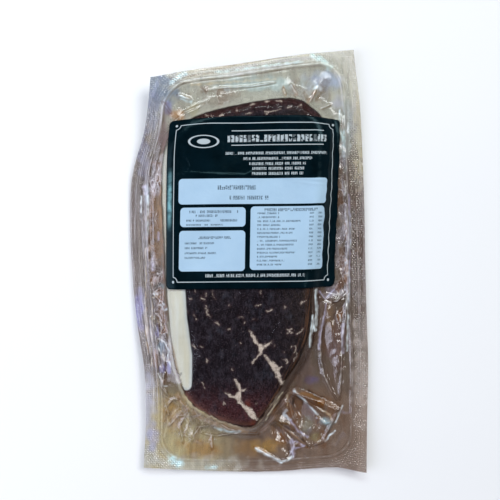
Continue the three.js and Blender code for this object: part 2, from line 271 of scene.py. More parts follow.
FLECKS = (
    ((-31.7, -16.1, 0.9), (-31.7, -17.2, 0.8)),
    ((-25.5, -18.2, 1), (-25.2, -20, 0.8)),
    ((-27.6, -20.8, 1), (-25.9, -22.6, 0.7)),
    ((-35, -21.4, 0.8), (-33.2, -21.7, 0.7)),
    ((-21.3, -15.9, 0.7), (-21, -18.2, 0.6), (-20, -21.7, 0.5)),
    ((-11.5, -25.4, 1), (-11.2, -25.9, 0.8)),
    ((-25.6, -25.2, 0.5), (-24.1, -28.4, 0.7), (-24.6, -29.9, 1), (-23.9, -30.8, 1.6), (-22.4, -32.2, 0.6)),
    ((-20.1, -35.2, 0.6), (-18.4, -35.7, 1.6), (-17.2, -36.8, 0.6)),
    ((-31.8, -30.5, 0.8), (-31.8, -32.2, 0.6)),
    ((-30.7, -33.6, 0.8), (-30.5, -34, 0.6)),
    ((-35.8, -29, 0.7), (-35.5, -29.4, 0.6)),
    ((-12.4, -39.5, 0.7), (-11, -39.5, 0.6)),
    ((-4.8, -47.4, 0.9), (-4.6, -47.9, 0.8)),
    ((-33.2, -48.6, 0.5), (-31, -50.5, 0.5)),
    ((-28.6, -49.5, 0.6), (-26.8, -49.9, 0.5)),
    ((-24.4, -56.8, 1.1), (-24.3, -58.5, 1)),
    ((-10.1, -62.6, 1.5), (-9, -63, 0.6)),
    ((-2.6, -35.2, 2.2), (-2.7, -36.4, 1.2)),
    ((-5.5, -32.2, 0.9), (-3.7, -32.5, 0.8)),
    ((7.1, -17, 1.2), (7.3, -18.8, 1)),
    ((4.4, -25.6, 0.9), (7.1, -25.2, 0.7)),
    ((10.7, -28.9, 2.4), (13.2, -28.1, 0.7)),
    ((21.1, -26, 1.5), (21.4, -26.8, 0.9)),
    ((30.5, -24.1, 1), (33.5, -22.5, 0.9)),
    ((2.2, -33.7, 0.7), (3.6, -33.7, 0.6)),
    ((22.2, -39.2, 0.7), (23.9, -40.4, 1.3), (25.3, -41.7, 0.8)),
    ((24.9, -38.9, 0.8), (23.9, -40.4, 1), (22.6, -41.8, 0.6)),
    ((27.9, -42.2, 0.8), (30, -40.8, 1), (31.9, -38.8, 0.6)),
    ((14.6, -48.9, 1), (14.9, -49.3, 0.8)),
    ((24.8, -49.8, 0.7), (27.2, -49.2, 0.8), (27.5, -51.9, 0.7), (26.5, -52.9, 0.6)),
    ((27.9, -53.6, 0.8), (28, -55.5, 0.8), (26.2, -57.6, 0.7)),
    ((19.8, -56.9, 0.7), (21.5, -57.6, 0.9), (22.5, -58.2, 0.9), (21.8, -59.2, 0.7)),
    ((-14.8, -82.2, 1.7), (-14.2, -83.2, 1)),
    ((-27.1, -71, 0.5), (-25.9, -74, 0.5)),
    ((4.3, -82.9, 1), (5, -83.2, 0.8)),
    ((20.5, -53, 0.7), (20.8, -53.6, 0.6)),
    ((-1.7, 86.6, 1), (1.8, 87.2, 0.8)),
    ((10, 86.3, 1), (12.6, 87.8, 0.8)),
    ((22.8, 85.1, 0.9), (23.4, 85.5, 0.7)),
    ((-25.6, 86.3, 0.8), (-24, 85.6, 0.7)),
    ((-22.4, 85.8, 0.7), (-21, 84.4, 0.7)),
    ((-19.4, 84.6, 0.7), (-18, 83.4, 0.6)),
)
COVERED_SEAMS = 9
COVERED_SEAM_SEED = 12

# The steak's mesh: the middle and half size of its grid, where its grids end inside its outline,
# the height where it is widest, its gap under the film, its lift and the rings round its side
STEAK_MIDDLE = (-2.0, 0.0)
STEAK_HALF = (48.0, 98.0)
GRID_INSET = 2.0
BASE_GRID_INSET = 3.2
WAIST = 6.0
TOP_GAP = 0.35
BASE_LIFT = 0.4
UPPER_RINGS = 8
LOWER_RINGS = 7

# Lines of another tint along the film's folds, as half width, share, tone and points: the pale cyan, white
# and lilac lines are painted glints and reflections, the cream lines painted highlights, the dark lines
# painted shade, and the amber and tan lines the film's own tint
# Tones of the lines: pale ones for painted glints, reflections and highlights, dark ones for painted shade
GLARE, LILAC_SHEEN, CREAM = (230, 243, 248), (186, 184, 212), (206, 194, 168)
DARK, AMBER, SHADE = (50, 32, 22), (124, 86, 44), (46, 33, 27)
TINT_AND_LIGHT_LINES = (
    (1.0, 0.6, SHADE, ((57.4, 34), (58, 16), (57.4, -4), (58, -12))),
    (1.7, 0.9, (164, 132, 94), ((-42, -79), (-37.4, -86), (-28, -92), (-19, -96.2), (-9, -98.8),
                                (-2, -100.4))),
    (0.75, 1.0, GLARE, ((39.3, -17), (39.8, -28), (39.9, -37.7))),
    (1.0, 1.0, GLARE, ((37.2, -32), (37.6, -37), (39, -40.4))),
    (0.7, 0.9, GLARE, ((36.9, -36), (36.5, -44), (36, -50))),
    (0.7, 0.8, LILAC_SHEEN, ((45.8, -25.2), (44.6, -34.7), (42.3, -40.7), (41.7, -52))),
    (0.6, 0.7, GLARE, ((59.5, -17), (58.3, -23), (58.9, -35), (58.3, -53))),
    (0.9, 0.6, LILAC_SHEEN, ((56.2, -37), (55.6, -45), (55.8, -54))),
    (0.6, 0.9, GLARE, ((54.2, -31.8), (54.2, -35.4))),
    (0.8, 0.9, GLARE, ((58.2, 0), (58.9, -8))),
    (0.6, 0.8, GLARE, ((60.4, 13.4), (60.4, 8))),
    (0.5, 0.7, LILAC_SHEEN, ((59.5, 40), (60.2, 26), (60, 4), (60, -12))),
    (0.7, 0.8, DARK, ((45.4, -23.6), (49.9, -24.6), (54.9, -22.8), (59, -18))),
    (0.6, 0.6, DARK, ((44.5, -20.7), (50.4, -14.8))),
    (0.5, 0.8, LILAC_SHEEN, ((41.7, -17.5), (45.6, -22.4), (52.6, -14.4))),
    (0.9, 0.7, (168, 166, 150), ((-46.9, -36), (-46.3, -46), (-44.2, -62), (-40.6, -74), (-38.4, -79))),
    (0.5, 0.8, CREAM, ((19.5, -77), (15, -84.4), (10, -93))),
    (0.5, 0.8, CREAM, ((22.6, -79), (22.9, -85))),
    (0.8, 0.9, GLARE, ((22.5, -87.8), (20.6, -90.6), (24.4, -94))),
    (0.7, 0.8, LILAC_SHEEN, ((24.4, -94), (29.2, -100.6), (34.9, -104.4))),
    (0.8, 0.9, DARK, ((19.7, -96.4), (25, -99.6), (30.1, -103.6), (35, -109.6))),
    (0.5, 0.7, AMBER, ((22, -100), (29, -105), (35, -110.6))),
    (1.4, 0.9, LILAC_SHEEN, ((25.4, -106.6), (26.6, -111), (25.6, -116))),
    (0.6, 0.8, DARK, ((23.6, -104), (23.6, -110), (24, -114))),
    (0.9, 1.0, GLARE, ((25.6, -116), (22.6, -118), (19.7, -119.4), (11.6, -115.6), (4.5, -111.8))),
    (0.5, 0.8, LILAC_SHEEN, ((27.3, -106.8), (33.5, -109.6), (27.6, -111))),
    (0.6, 0.9, GLARE, ((26.8, -76.4), (33.9, -83.5), (41.1, -91.1))),
    (0.7, 1.0, DARK, ((35.9, -76.8), (41.1, -81.1), (44.6, -80.4))),
    (0.9, 0.8, AMBER, ((28, -78), (36, -79), (44, -83.4))),
    (0.6, 0.9, DARK, ((29, -80), (34, -86), (39.4, -91.4), (40.6, -96))),
    (0.6, 0.8, CREAM, ((42.5, -87.6), (48.2, -91.1), (49, -94))),
    (0.6, 0.8, GLARE, ((55.4, -86), (51.4, -95.6))),
    (0.6, 0.9, GLARE, ((50.8, -100.4), (45, -106.6), (43.4, -102.8))),
    (1.0, 0.9, DARK, ((26.2, -82), (26.2, -87.4))),
    (0.6, 0.3, LILAC_SHEEN, ((56, -89), (58, -90.4), (60.6, -89.4), (60.2, -86.6))),
    (0.6, 0.9, GLARE, ((-60, 39.4), (-60, 31))),
    (0.5, 0.6, GLARE, ((-60, 31), (-60.2, 16))),
    (0.5, 0.4, LILAC_SHEEN, ((-60.2, 16), (-60.3, 0), (-60.2, -16))),
    (0.5, 0.8, GLARE, ((-64.5, 38.8), (-64.6, 29))),
    (1.3, 0.9, LILAC_SHEEN, ((-62.4, 44.6), (-61.2, 41))),
    (0.8, 0.8, LILAC_SHEEN, ((-53.2, 17), (-53.8, 12.6))),
    (0.9, 0.9, LILAC_SHEEN, ((-57.7, 1.6), (-57.4, -4.5))),
    (0.4, 0.7, CREAM, ((-61.5, 8), (-61.5, -30), (-61, -50))),
    (0.8, 0.7, (150, 118, 76), ((-61.2, -27), (-60.4, -40), (-59.6, -54))),
    (0.4, 0.6, CREAM, ((-57.6, -24), (-57.3, -45), (-58, -62))),
    (0.5, 0.8, GLARE, ((-56.8, -19), (-54.4, -19.6))),
    (0.4, 0.8, CREAM, ((-57, -21), (-52.6, -20.6))),
    (0.5, 0.8, GLARE, ((-52.7, -22.9), (-49.9, -25.1))),
    (0.5, 0.8, GLARE, ((-52.9, -25.1), (-49.9, -29), (-48.2, -27.6))),
    (0.4, 0.7, CREAM, ((-52.9, -35.9), (-49.5, -39.8))),
    (0.4, 0.8, GLARE, ((-53.9, -45.4), (-49.5, -47.2), (-47.4, -52.3), (-47.4, -57.5), (-46.1, -61.8))),
    (0.4, 0.8, GLARE, ((-53.9, -65.6), (-51.7, -69.5), (-50, -73.8), (-48.3, -73.4))),
    (0.8, 0.7, DARK, ((-57.4, 28), (-57.2, 14), (-57.2, 1))),
    (1.6, 0.6, SHADE, ((-54, -7), (-51.6, -10))),
    (0.5, 0.6, CREAM, ((-42, -87), (-48, -94), (-50, -104))),
    (0.5, 0.6, CREAM, ((-36, -90), (-37, -98), (-33, -104))),
    (0.9, 0.6, AMBER, ((-38, -100), (-38.6, -108))),
    (0.7, 0.7, AMBER, ((-22.4, -104), (-22, -112))),
    (1.0, 0.7, (206, 232, 238), ((-20, -98.2), (-13, -100.6), (-6, -100.4))),
    (0.8, 0.8, (150, 118, 76), ((20.2, 104), (21.4, 98.4))),
    (0.8, 0.8, (150, 118, 76), ((26.4, 104), (28.2, 98.6))),
    (1.0, 0.9, (140, 100, 58), ((34.4, 93.6), (39.4, 101))),
    (1.6, 1.0, (222, 246, 250), ((-45, 105.4), (-41, 108), (-37.6, 111))),
    (1.1, 0.4, (176, 182, 212), ((-56.6, 97), (-51.9, 108.3))),
    (1.1, 0.9, (216, 240, 244), ((-39.8, 96.6), (-34.1, 94.3))),
    (0.7, 0.6, (104, 84, 100), ((-51, 93.4), (-48, 93))),
    (1.8, 0.8, (206, 240, 236), ((37.8, 122), (43, 120), (48, 115.6))),
    (3.0, 0.9, (206, 240, 244), ((-45.4, -117.5), (-41.6, -120.4))),
    (1.2, 0.7, (206, 240, 244), ((-25, -122.6), (-20, -122.8))),
    (1.0, 0.9, GLARE, ((38.5, 102.5), (41, 103.6), (43, 102))),
    (0.8, 0.9, GLARE, ((54.2, 89.5), (54.3, 84.5))),
    (0.7, 0.9, GLARE, ((58.9, 82), (58.9, 77))),
    (1.0, 0.8, (200, 230, 232), ((55.8, 78), (56.2, 63))),
    (0.5, 0.7, GLARE, ((57.1, 48), (57.3, 39.6))),
    (0.7, 0.5, SHADE, ((-61, 74), (-61.6, 50))),
    (0.8, 0.8, (214, 240, 240), ((-20, 112), (10, 116.5), (32, 119))),
    (0.7, 0.6, (196, 176, 140), ((-34, 104), (-8, 107), (16, 108.6))),
)

# How much lighter or darker the film is at distances outside the rim, in red, green and blue: the brightest
# bands, on the rim's ridges, are painted highlights and the darkest, beside them, painted shade
MARGIN_BANDS = (
    (-2.2, (1, 1, 1)),
    (-0.9, (0.74, 0.64, 0.56)),
    (0.3, (1.4, 1.45, 1.5)),
    (1.3, (1.05, 1.1, 1.25)),
    (2.2, (1.6, 1.6, 1.6)),
    (3.2, (0.8, 0.7, 0.6)),
    (4.6, (1.25, 1.25, 1.35)),
    (5.5, (1.6, 1.55, 1.5)),
    (6.8, (0.95, 0.85, 0.72)),
    (8.5, (1.3, 1.2, 1.3)),
    (10.5, (1.2, 1.1, 1.15)),
)

# Patches of another tint in the film, as middle, radius along x and y, colour and share: the bluish,
# cyan-white and lilac patches are painted reflections and glints, and the brown, amber, tan and grey ones the
# film's own tint
TINT_AND_LIGHT_PATCHES = (
    (-54, 102, 14, 12, (122, 138, 158), 0.9),
    (-42, 86, 4.4, 4.4, (196, 146, 92), 0.8),
    (-33, 89.5, 5, 4, (184, 174, 132), 0.6),
    (-57, 88, 5, 14, (126, 132, 154), 0.8),
    (-63, 66, 4, 16, (132, 134, 162), 0.75),
    (-48, 90.5, 3, 3.4, (174, 170, 210), 0.6),
    (-50, 76, 4, 12, (138, 112, 116), 0.6),
    (-44, -90, 8, 12, (190, 148, 70), 0.65),
    (-28, -112, 13, 7, (170, 120, 46), 0.65),
    (0, -111, 10, 6, (150, 112, 62), 0.6),
    (11, -110, 9, 5, (196, 152, 76), 0.7),
    (35, -83, 12, 8, (104, 68, 42), 0.75),
    (42, -84, 3.4, 4.4, (102, 62, 18), 0.85),
    (28, -91, 5, 8, (112, 84, 66), 0.75),
    (20, -101, 6, 8, (106, 78, 58), 0.7),
    (18, -97, 4, 3.4, (116, 84, 30), 0.6),
    (34, -97, 5, 5, (148, 150, 136), 0.7),
    (40.8, -95, 1.8, 3, (120, 80, 24), 0.8),
    (46.6, -95.4, 4, 3.2, (190, 220, 228), 0.9),
    (40, -105, 4.6, 3, (170, 156, 114), 0.7),
    (36.6, -70, 5, 2.6, (96, 84, 132), 0.7),
    (34, -64, 6, 12, (106, 84, 80), 0.6),
    (51, -46, 6, 22, (116, 90, 88), 0.65),
    (48.4, -33, 3, 9, (140, 110, 72), 0.6),
    (51, -18, 7, 4, (168, 158, 172), 0.7),
    (-61.5, -86, 7, 24, (194, 196, 212), 0.8),
    (-62, -114, 12, 11, (186, 184, 172), 0.75),
    (-65, -28, 3, 14, (160, 158, 214), 0.8),
    (-53.4, -9.8, 4.5, 3, (128, 88, 72), 0.9),
    (-52.1, -14.4, 2.6, 2.2, (122, 138, 142), 0.8),
    (-51, -32, 3.4, 8, (124, 92, 66), 0.85),
    (-54.3, -41, 1.2, 5, (156, 156, 220), 0.75),
    (-51.7, -50.2, 2.6, 4, (140, 178, 202), 0.8),
    (-55.6, -57, 2.4, 5, (158, 120, 96), 0.8),
    (-49.5, -56.6, 2, 3.6, (96, 90, 86), 0.75),
    (-50.8, -63, 1.8, 3.2, (162, 158, 224), 0.75),
    (-47.2, -63, 1.4, 3.6, (162, 158, 220), 0.7),
    (45, 107.5, 11, 6, (200, 216, 242), 0.7),
    (52.5, 94, 3.4, 5, (208, 210, 230), 0.5),
    (57.7, 78, 4, 20, (200, 216, 214), 0.7),
    (64, 84, 5, 16, (180, 180, 184), 0.6),
    (65, 55, 5, 14, (162, 148, 124), 0.6),
    (6, 106, 30, 4.5, (210, 228, 224), 0.75),
    (-55.4, 24, 5.4, 32, (150, 112, 72), 0.95),
    (-56, 51, 3.6, 9, (146, 136, 140), 0.6),
    (-60.5, 40, 1.6, 7, (206, 226, 238), 0.8),
    (60, 18, 1.4, 12, (206, 218, 222), 0.7),
    (59.5, -14, 1.4, 11, (200, 212, 220), 0.7),
    (56, -2, 3, 9, (150, 112, 96), 0.5),
    (66, 4, 7, 44, (92, 74, 66), 0.75),
    (66, -66, 6, 30, (200, 186, 176), 0.65),
    (-33, -122, 34, 7, (214, 212, 200), 0.65),
    (-57, -104, 3.4, 9, (182, 182, 222), 0.5),
    (66, 80, 4, 30, (190, 180, 146), 0.75),
    (5, -101, 8, 4, (132, 98, 66), 0.5),
)

# The label's print: its panels by their sides, its frame, its rules by left, right, middle and half
# thickness, and its oval by middle and half size
LABEL_PANELS = (
    (-44.7, 43.8, -1, 13.9),
    (-43.5, -5.4, -14.2, -2.9),
    (-43.9, -5.4, -40.1, -16.4),
    (-2.5, 42.9, -39.5, -2.5),
)
PANEL_RADIUS = 2.2
FRAME_HALF = (47.6, 46.3)
FRAME_NOTCH = 2.8
FRAME_DOT = 0.8
FRAME_LINE = 0.5
LABEL_RULES = ((-14.3, 40.6, 41.8, 0.25), (-14.3, 40.6, 33.4, 0.25))
LABEL_OVAL = (-30.5, 35.6, 9.2, 3.9)

# The list on the label's right panel: its top, height of a line, left side, range of the lines' lengths,
# columns of numbers by middle and half width, and its own middle and half height
LIST_TOP = -5.4
LIST_LINE = 2.3
LIST_LEFT = 1.3
LIST_LENGTHS = (9, 26)
LIST_COLUMNS = ((33.5, 1.6), (39.8, 1.4))
LIST_MIDDLE = -21.7
LIST_HALF = 16

# Rows of small blocks, as the pitch and line of the blocks, then left, right, middle and half height
WHITE_ROWS = (
    (2.4, 9, ((-16.6, 43, 37.2, 2),)),
    (0.95, 3.1, ((-17.7, 43.3, 28.6, 0.8), (-7.2, 32.8, 25.4, 0.8), (-3.7, 29.3, 22.4, 0.8),
                 (-2.7, 28.3, 19.6, 0.8), (-2.2, 27.8, 16.7, 0.8), (-28.3, 30, -42.7, 0.9))),
)
TINY_BLOCKS = (0.8, LIST_LINE)
DARK_ROWS = (
    (1.15, 9, ((-21.9, 0.3, 8.6, 1.3), (-14.9, 7.9, 2.65, 1.15))),
    (*TINY_BLOCKS, ((-38.3, -9.6, -5.4, 0.8), (-34.7, -21.3, -7.7, 0.7), (-40, -26, -10.5, 0.6),
                    (-20.1, -10.2, -10.5, 0.7), (-40, -18.4, -13, 0.45), (-33, -13.7, -20.5, 0.8),
                    (-40.6, -23.6, -23.7, 0.6), (-40.6, -27.6, -26.5, 0.6), (-40.6, -22.1, -29.5, 0.6),
                    (-40.6, -28.6, -32.2, 0.6), (5.5, 37.7, -4.5, 0.9))),
)

# Creases in the label: height, half width, and the line that each follows on its flat sheet
LABEL_CREASES = (
    (0.5, 1.2, ((-51, 18), (-34, 17), (-18, 16), (-6, 15.6), (-2, 17.6), (0, 15.2), (8, 15.6),
                (24, 13.6), (52, 12))),
    (0.35, 0.9, ((-2, 17.6), (3, 20.4), (9, 21.6))),
    (0.3, 1.0, ((-40, 27), (-37.6, 22), (-39.4, 18))),
    (0.3, 1.0, ((46, 46), (44.4, 20), (43.6, 2), (40, -18), (37.6, -30), (36.4, -50))),
    (0.3, 0.9, ((20, 12.6), (34, 10.4), (44, 9.8))),
)

# The camera: straight above the pack's middle, a little towards its top end
CAMERA_X = 0.65
CAMERA_Y = 6.9
CAMERA_HEIGHT = 500.0
FLOOR_SEEN = 300.0

# The lights, in metres, and the studio's shades by height
KEY_PLACE = (0.52, 0.34, 0.78)
KEY_POWER = 1.75
KEY_COLOUR = (0.98, 0.99, 1.0)
KEY_ANGLE = math.radians(26)
SOFT_BOXES = (
    ("fill", (-0.74, -0.1, 0.62), (0.6, 1.0), 7.0, (0.8, 0.83, 1.0)),
    ("top", (0.04, 0.6, 0.76), (0.7, 0.24), 4.4, (0.92, 1.0, 1.0)),
)
STUDIO_SHADES = ((0.1, (0.32, 0.32, 0.335, 1)), (0.85, (0.1, 0.105, 0.115, 1)))
FLOOR_HALF = 4000.0

# The films: name, cells of its mesh, whether it faces down, the least share of its tint, and its haze
FILMS = (("film_top", (226, 400), False, 0.75, 0.42), ("film_base", (142, 252), True, 0.8, 0.36))
TINTED_HAZE = 0.92
DRAWN_HAZE = 1.15
STEAK_HAZE = 0.08

# Mesh sizes of the other pieces, in cells
STEAK_CELLS = (136, 280)
LABEL_CELLS = (140, 134)


def smooth(low, high, x):
    t = np.clip((x - low) / (high - low), 0, 1)
    return t * t * (3 - 2 * t)


def mix(a, b, share):
    return a + (b - a) * share


def through(values, share):
    """A smooth line through values at even steps of a share from 0 to 1."""
    values = np.asarray(values, float)
    last = len(values) - 1
    at = np.clip(share, 0, 1) * last
    i = np.minimum(at.astype(int), last - 1)
    f = at - i
    a, b = values[i], values[i + 1]
    slope_a = (b - values[np.maximum(i - 1, 0)]) / 2
    slope_b = (values[np.minimum(i + 2, last)] - a) / 2
    curve = f * (3 * (b - a) - 2 * slope_a - slope_b) + f * f * (2 * (a - b) + slope_a + slope_b)
    return a + f * (slope_a + curve)


def drawn_in(x, y):
    """Where the drawn-in film has a point of the film's true rectangle."""
    s = (x + HALF_WIDTH) / PACK_WIDTH
    t = (y + HALF_LENGTH) / PACK_LENGTH
    from_sides = through(PULL_LEFT, t) * (1 - s) - through(PULL_RIGHT, t) * s
    from_ends = through(PULL_BOTTOM, s) * (1 - t) - through(PULL_TOP, s) * t
    return x + from_sides, y + from_ends


def from_spot(x, y, spot):
    """How far points are from the middle of an oval spot, in its own radii."""
    middle_x, middle_y, radius_x, radius_y = spot
    return np.hypot((x - middle_x) / radius_x, (y - middle_y) / radius_y)


def rounded_box(x, y, half_width, half_length, radius):
    """How far a point is outside a rounded rectangle."""
    dx, dy = np.abs(x) - half_width + radius, np.abs(y) - half_length + radius
    return np.hypot(np.maximum(dx, 0), np.maximum(dy, 0)) + np.minimum(np.maximum(dx, dy), 0) - radius


def closed_curve(points, steps):
    """Points along a smooth closed curve through points."""
    points = np.asarray(points, float)
    before, after, later = (np.roll(points, k, axis=0) for k in (1, -1, -2))
    slope_a, slope_b = (after - before) / 2, (later - points) / 2
    t = (np.arange(steps) / steps)[None, :, None]
    a, b, c, d = (v[:, None, :] for v in (points, after, slope_a, slope_b))
    curve = a + c * t + (3 * (b - a) - 2 * c - d) * t**2 + (2 * (a - b) + c + d) * t**3
    return curve.reshape(-1, 2)


OUTLINE = closed_curve(STEAK_OUTLINE, CHORDS_PER_POINT)
OUTLINE_NEXT = np.roll(OUTLINE, -1, axis=0)


def from_way(x, y, a, b):
    """How far points are from the way between a and b, and the share of the way nearest to them."""
    ex, ey = b[0] - a[0], b[1] - a[1]
    along = np.clip(((x - a[0]) * ex + (y - a[1]) * ey) / max(ex * ex + ey * ey, 1e-9), 0, 1)
    return np.hypot(x - a[0] - along * ex, y - a[1] - along * ey), along


def from_outline(x, y):
    """How far points are outside the steak's outline; below 0 inside it."""
    nearest = np.full(x.shape, np.inf)
    inside = np.zeros(x.shape, bool)
    for a, b in zip(OUTLINE, OUTLINE_NEXT):
        nearest = np.minimum(nearest, from_way(x, y, a, b)[0])
        rise = b[1] - a[1]
        inside ^= ((a[1] > y) != (b[1] > y)) & (x < a[0] + (y - a[1]) * ((b[0] - a[0]) / (rise or 1)))
    return np.where(inside, -nearest, nearest)


def noise(x, y, size, seed):
    """Smooth noise from about -1 to 1, with features of the given size."""
    angles = np.random.default_rng(seed).uniform(0, 2 * math.pi, (256, 256))
    x, y = x / size, y / size
    ix, iy = np.floor(x).astype(int), np.floor(y).astype(int)
    fx, fy = x - ix, y - iy

    def corner(cx, cy):
        angle = angles[(ix + cx) & 255, (iy + cy) & 255]
        return np.cos(angle) * (fx - cx) + np.sin(angle) * (fy - cy)

    ease_x, ease_y = (f * f * f * (f * (f * 6 - 15) + 10) for f in (fx, fy))
    low = mix(corner(0, 0), corner(1, 0), ease_x)
    high = mix(corner(0, 1), corner(1, 1), ease_x)
    return mix(low, high, ease_y) * 1.5


def facets(x, y, size, seed):
    """A crumple of flat three-sided facets, from -1 to 1 in height, with sides of the given size."""
    heights = np.random.default_rng(seed).uniform(-1, 1, (256, 256))
    x, y = x / size, y / size
    ix, iy = np.floor(x).astype(int), np.floor(y).astype(int)
    turned = (ix + iy) % 2
    fx, fy = np.abs(turned - (x - ix)), y - iy
    near, beside, above, far = (heights[(ix + np.abs(turned - cx)) & 255, (iy + cy) & 255]
                                for cx, cy in ((0, 0), (1, 0), (0, 1), (1, 1)))
    lower = near + (beside - near) * fx + (far - beside) * fy
    upper = near + (far - above) * fx + (above - near) * fy
    return np.where(fx > fy, lower, upper)


def flange_top(x, y):
    """The flange's upper face, with its curls."""
    z = np.full(np.shape(x), FLANGE_HEIGHT)
    for cx, cy, lift, radius in CURLS:
        z = z + lift * np.exp(-((x - cx) ** 2 + (y - cy) ** 2) / (2 * radius**2))
    return z


def in_groove(x, y):
    """1 at the bottom of the groove between fat and lean, and 0 away from it."""
    share = (y - FAT_EDGE_BOTTOM) / (FAT_EDGE_TOP - FAT_EDGE_BOTTOM)
    return np.exp(-(((x - through(FAT_EDGE_X, share)) / FAT_GROOVE_WIDTH) ** 2))


def steak_top(x, y):
    """The top of the steak: long swells, and the groove between fat and lean."""
    z = np.full(np.shape(x), STEAK_THICKNESS)
    for height, waves_x, waves_y, phase in SWELLS:
        z = z + height * np.sin(2 * math.pi * (x * waves_x + y * waves_y) + phase)
    return z - FAT_GROOVE_DEPTH * in_groove(x, y)


def fold_height(x, y, d):
    """How high the folds of the solids stand."""
    height = np.zeros(x.shape)
    for a, b, high, width in FOLDS:
        away, along = from_way(x, y, a, b)
        height = np.maximum(height, high * (1 - FOLD_TAPER * along) * np.clip(1 - away / width, 0, 1))
    return height * smooth(FOLD_START, FOLD_FULL, d)


def from_line(x, y, points):
    """For each way of a line, how far points are from it, and the share of the line up to its nearer end."""
    steps = np.hypot(*np.diff(np.array(points), axis=0).T)
    run = np.concatenate([[0], np.cumsum(steps)]) / steps.sum()
    for a, b, start, end in zip(points, points[1:], run, run[1:]):
        away, along = from_way(x, y, a, b)
        share = mix(start, end, along)
        yield away, np.minimum(share, 1 - share)


def crease_height(x, y, lines):
    """How high the creases along the given lines stand, fading at the ends of each line."""
    height = np.zeros(x.shape)
    for high, width, points in lines:
        for away, to_end in from_line(x, y, points):
            fade = np.minimum(1, 0.25 + 5 * to_end)
            height = np.maximum(height, high * fade * np.clip(1 - away / width, 0, 1) ** 1.2)
    return height


def fallen(d):
    """How far the upper film has fallen from the steak's top to the flange, from 0 to 1."""
    share = np.clip((d + SHOULDER) / (SHOULDER + SKIRT), 0, 1) ** SHOULDER_POWER
    return (1 - np.cos(math.pi * share)) / 2


def on_label(x, y):
    """Where the label's own flat sheet has the points that it covers."""
    dx, dy = x - LABEL_X, y - LABEL_Y
    v = dy * math.cos(LABEL_TURN) - dx * math.sin(LABEL_TURN)
    leant = dx * math.cos(LABEL_TURN) + dy * math.sin(LABEL_TURN)
    return leant - v * LABEL_LEAN, v


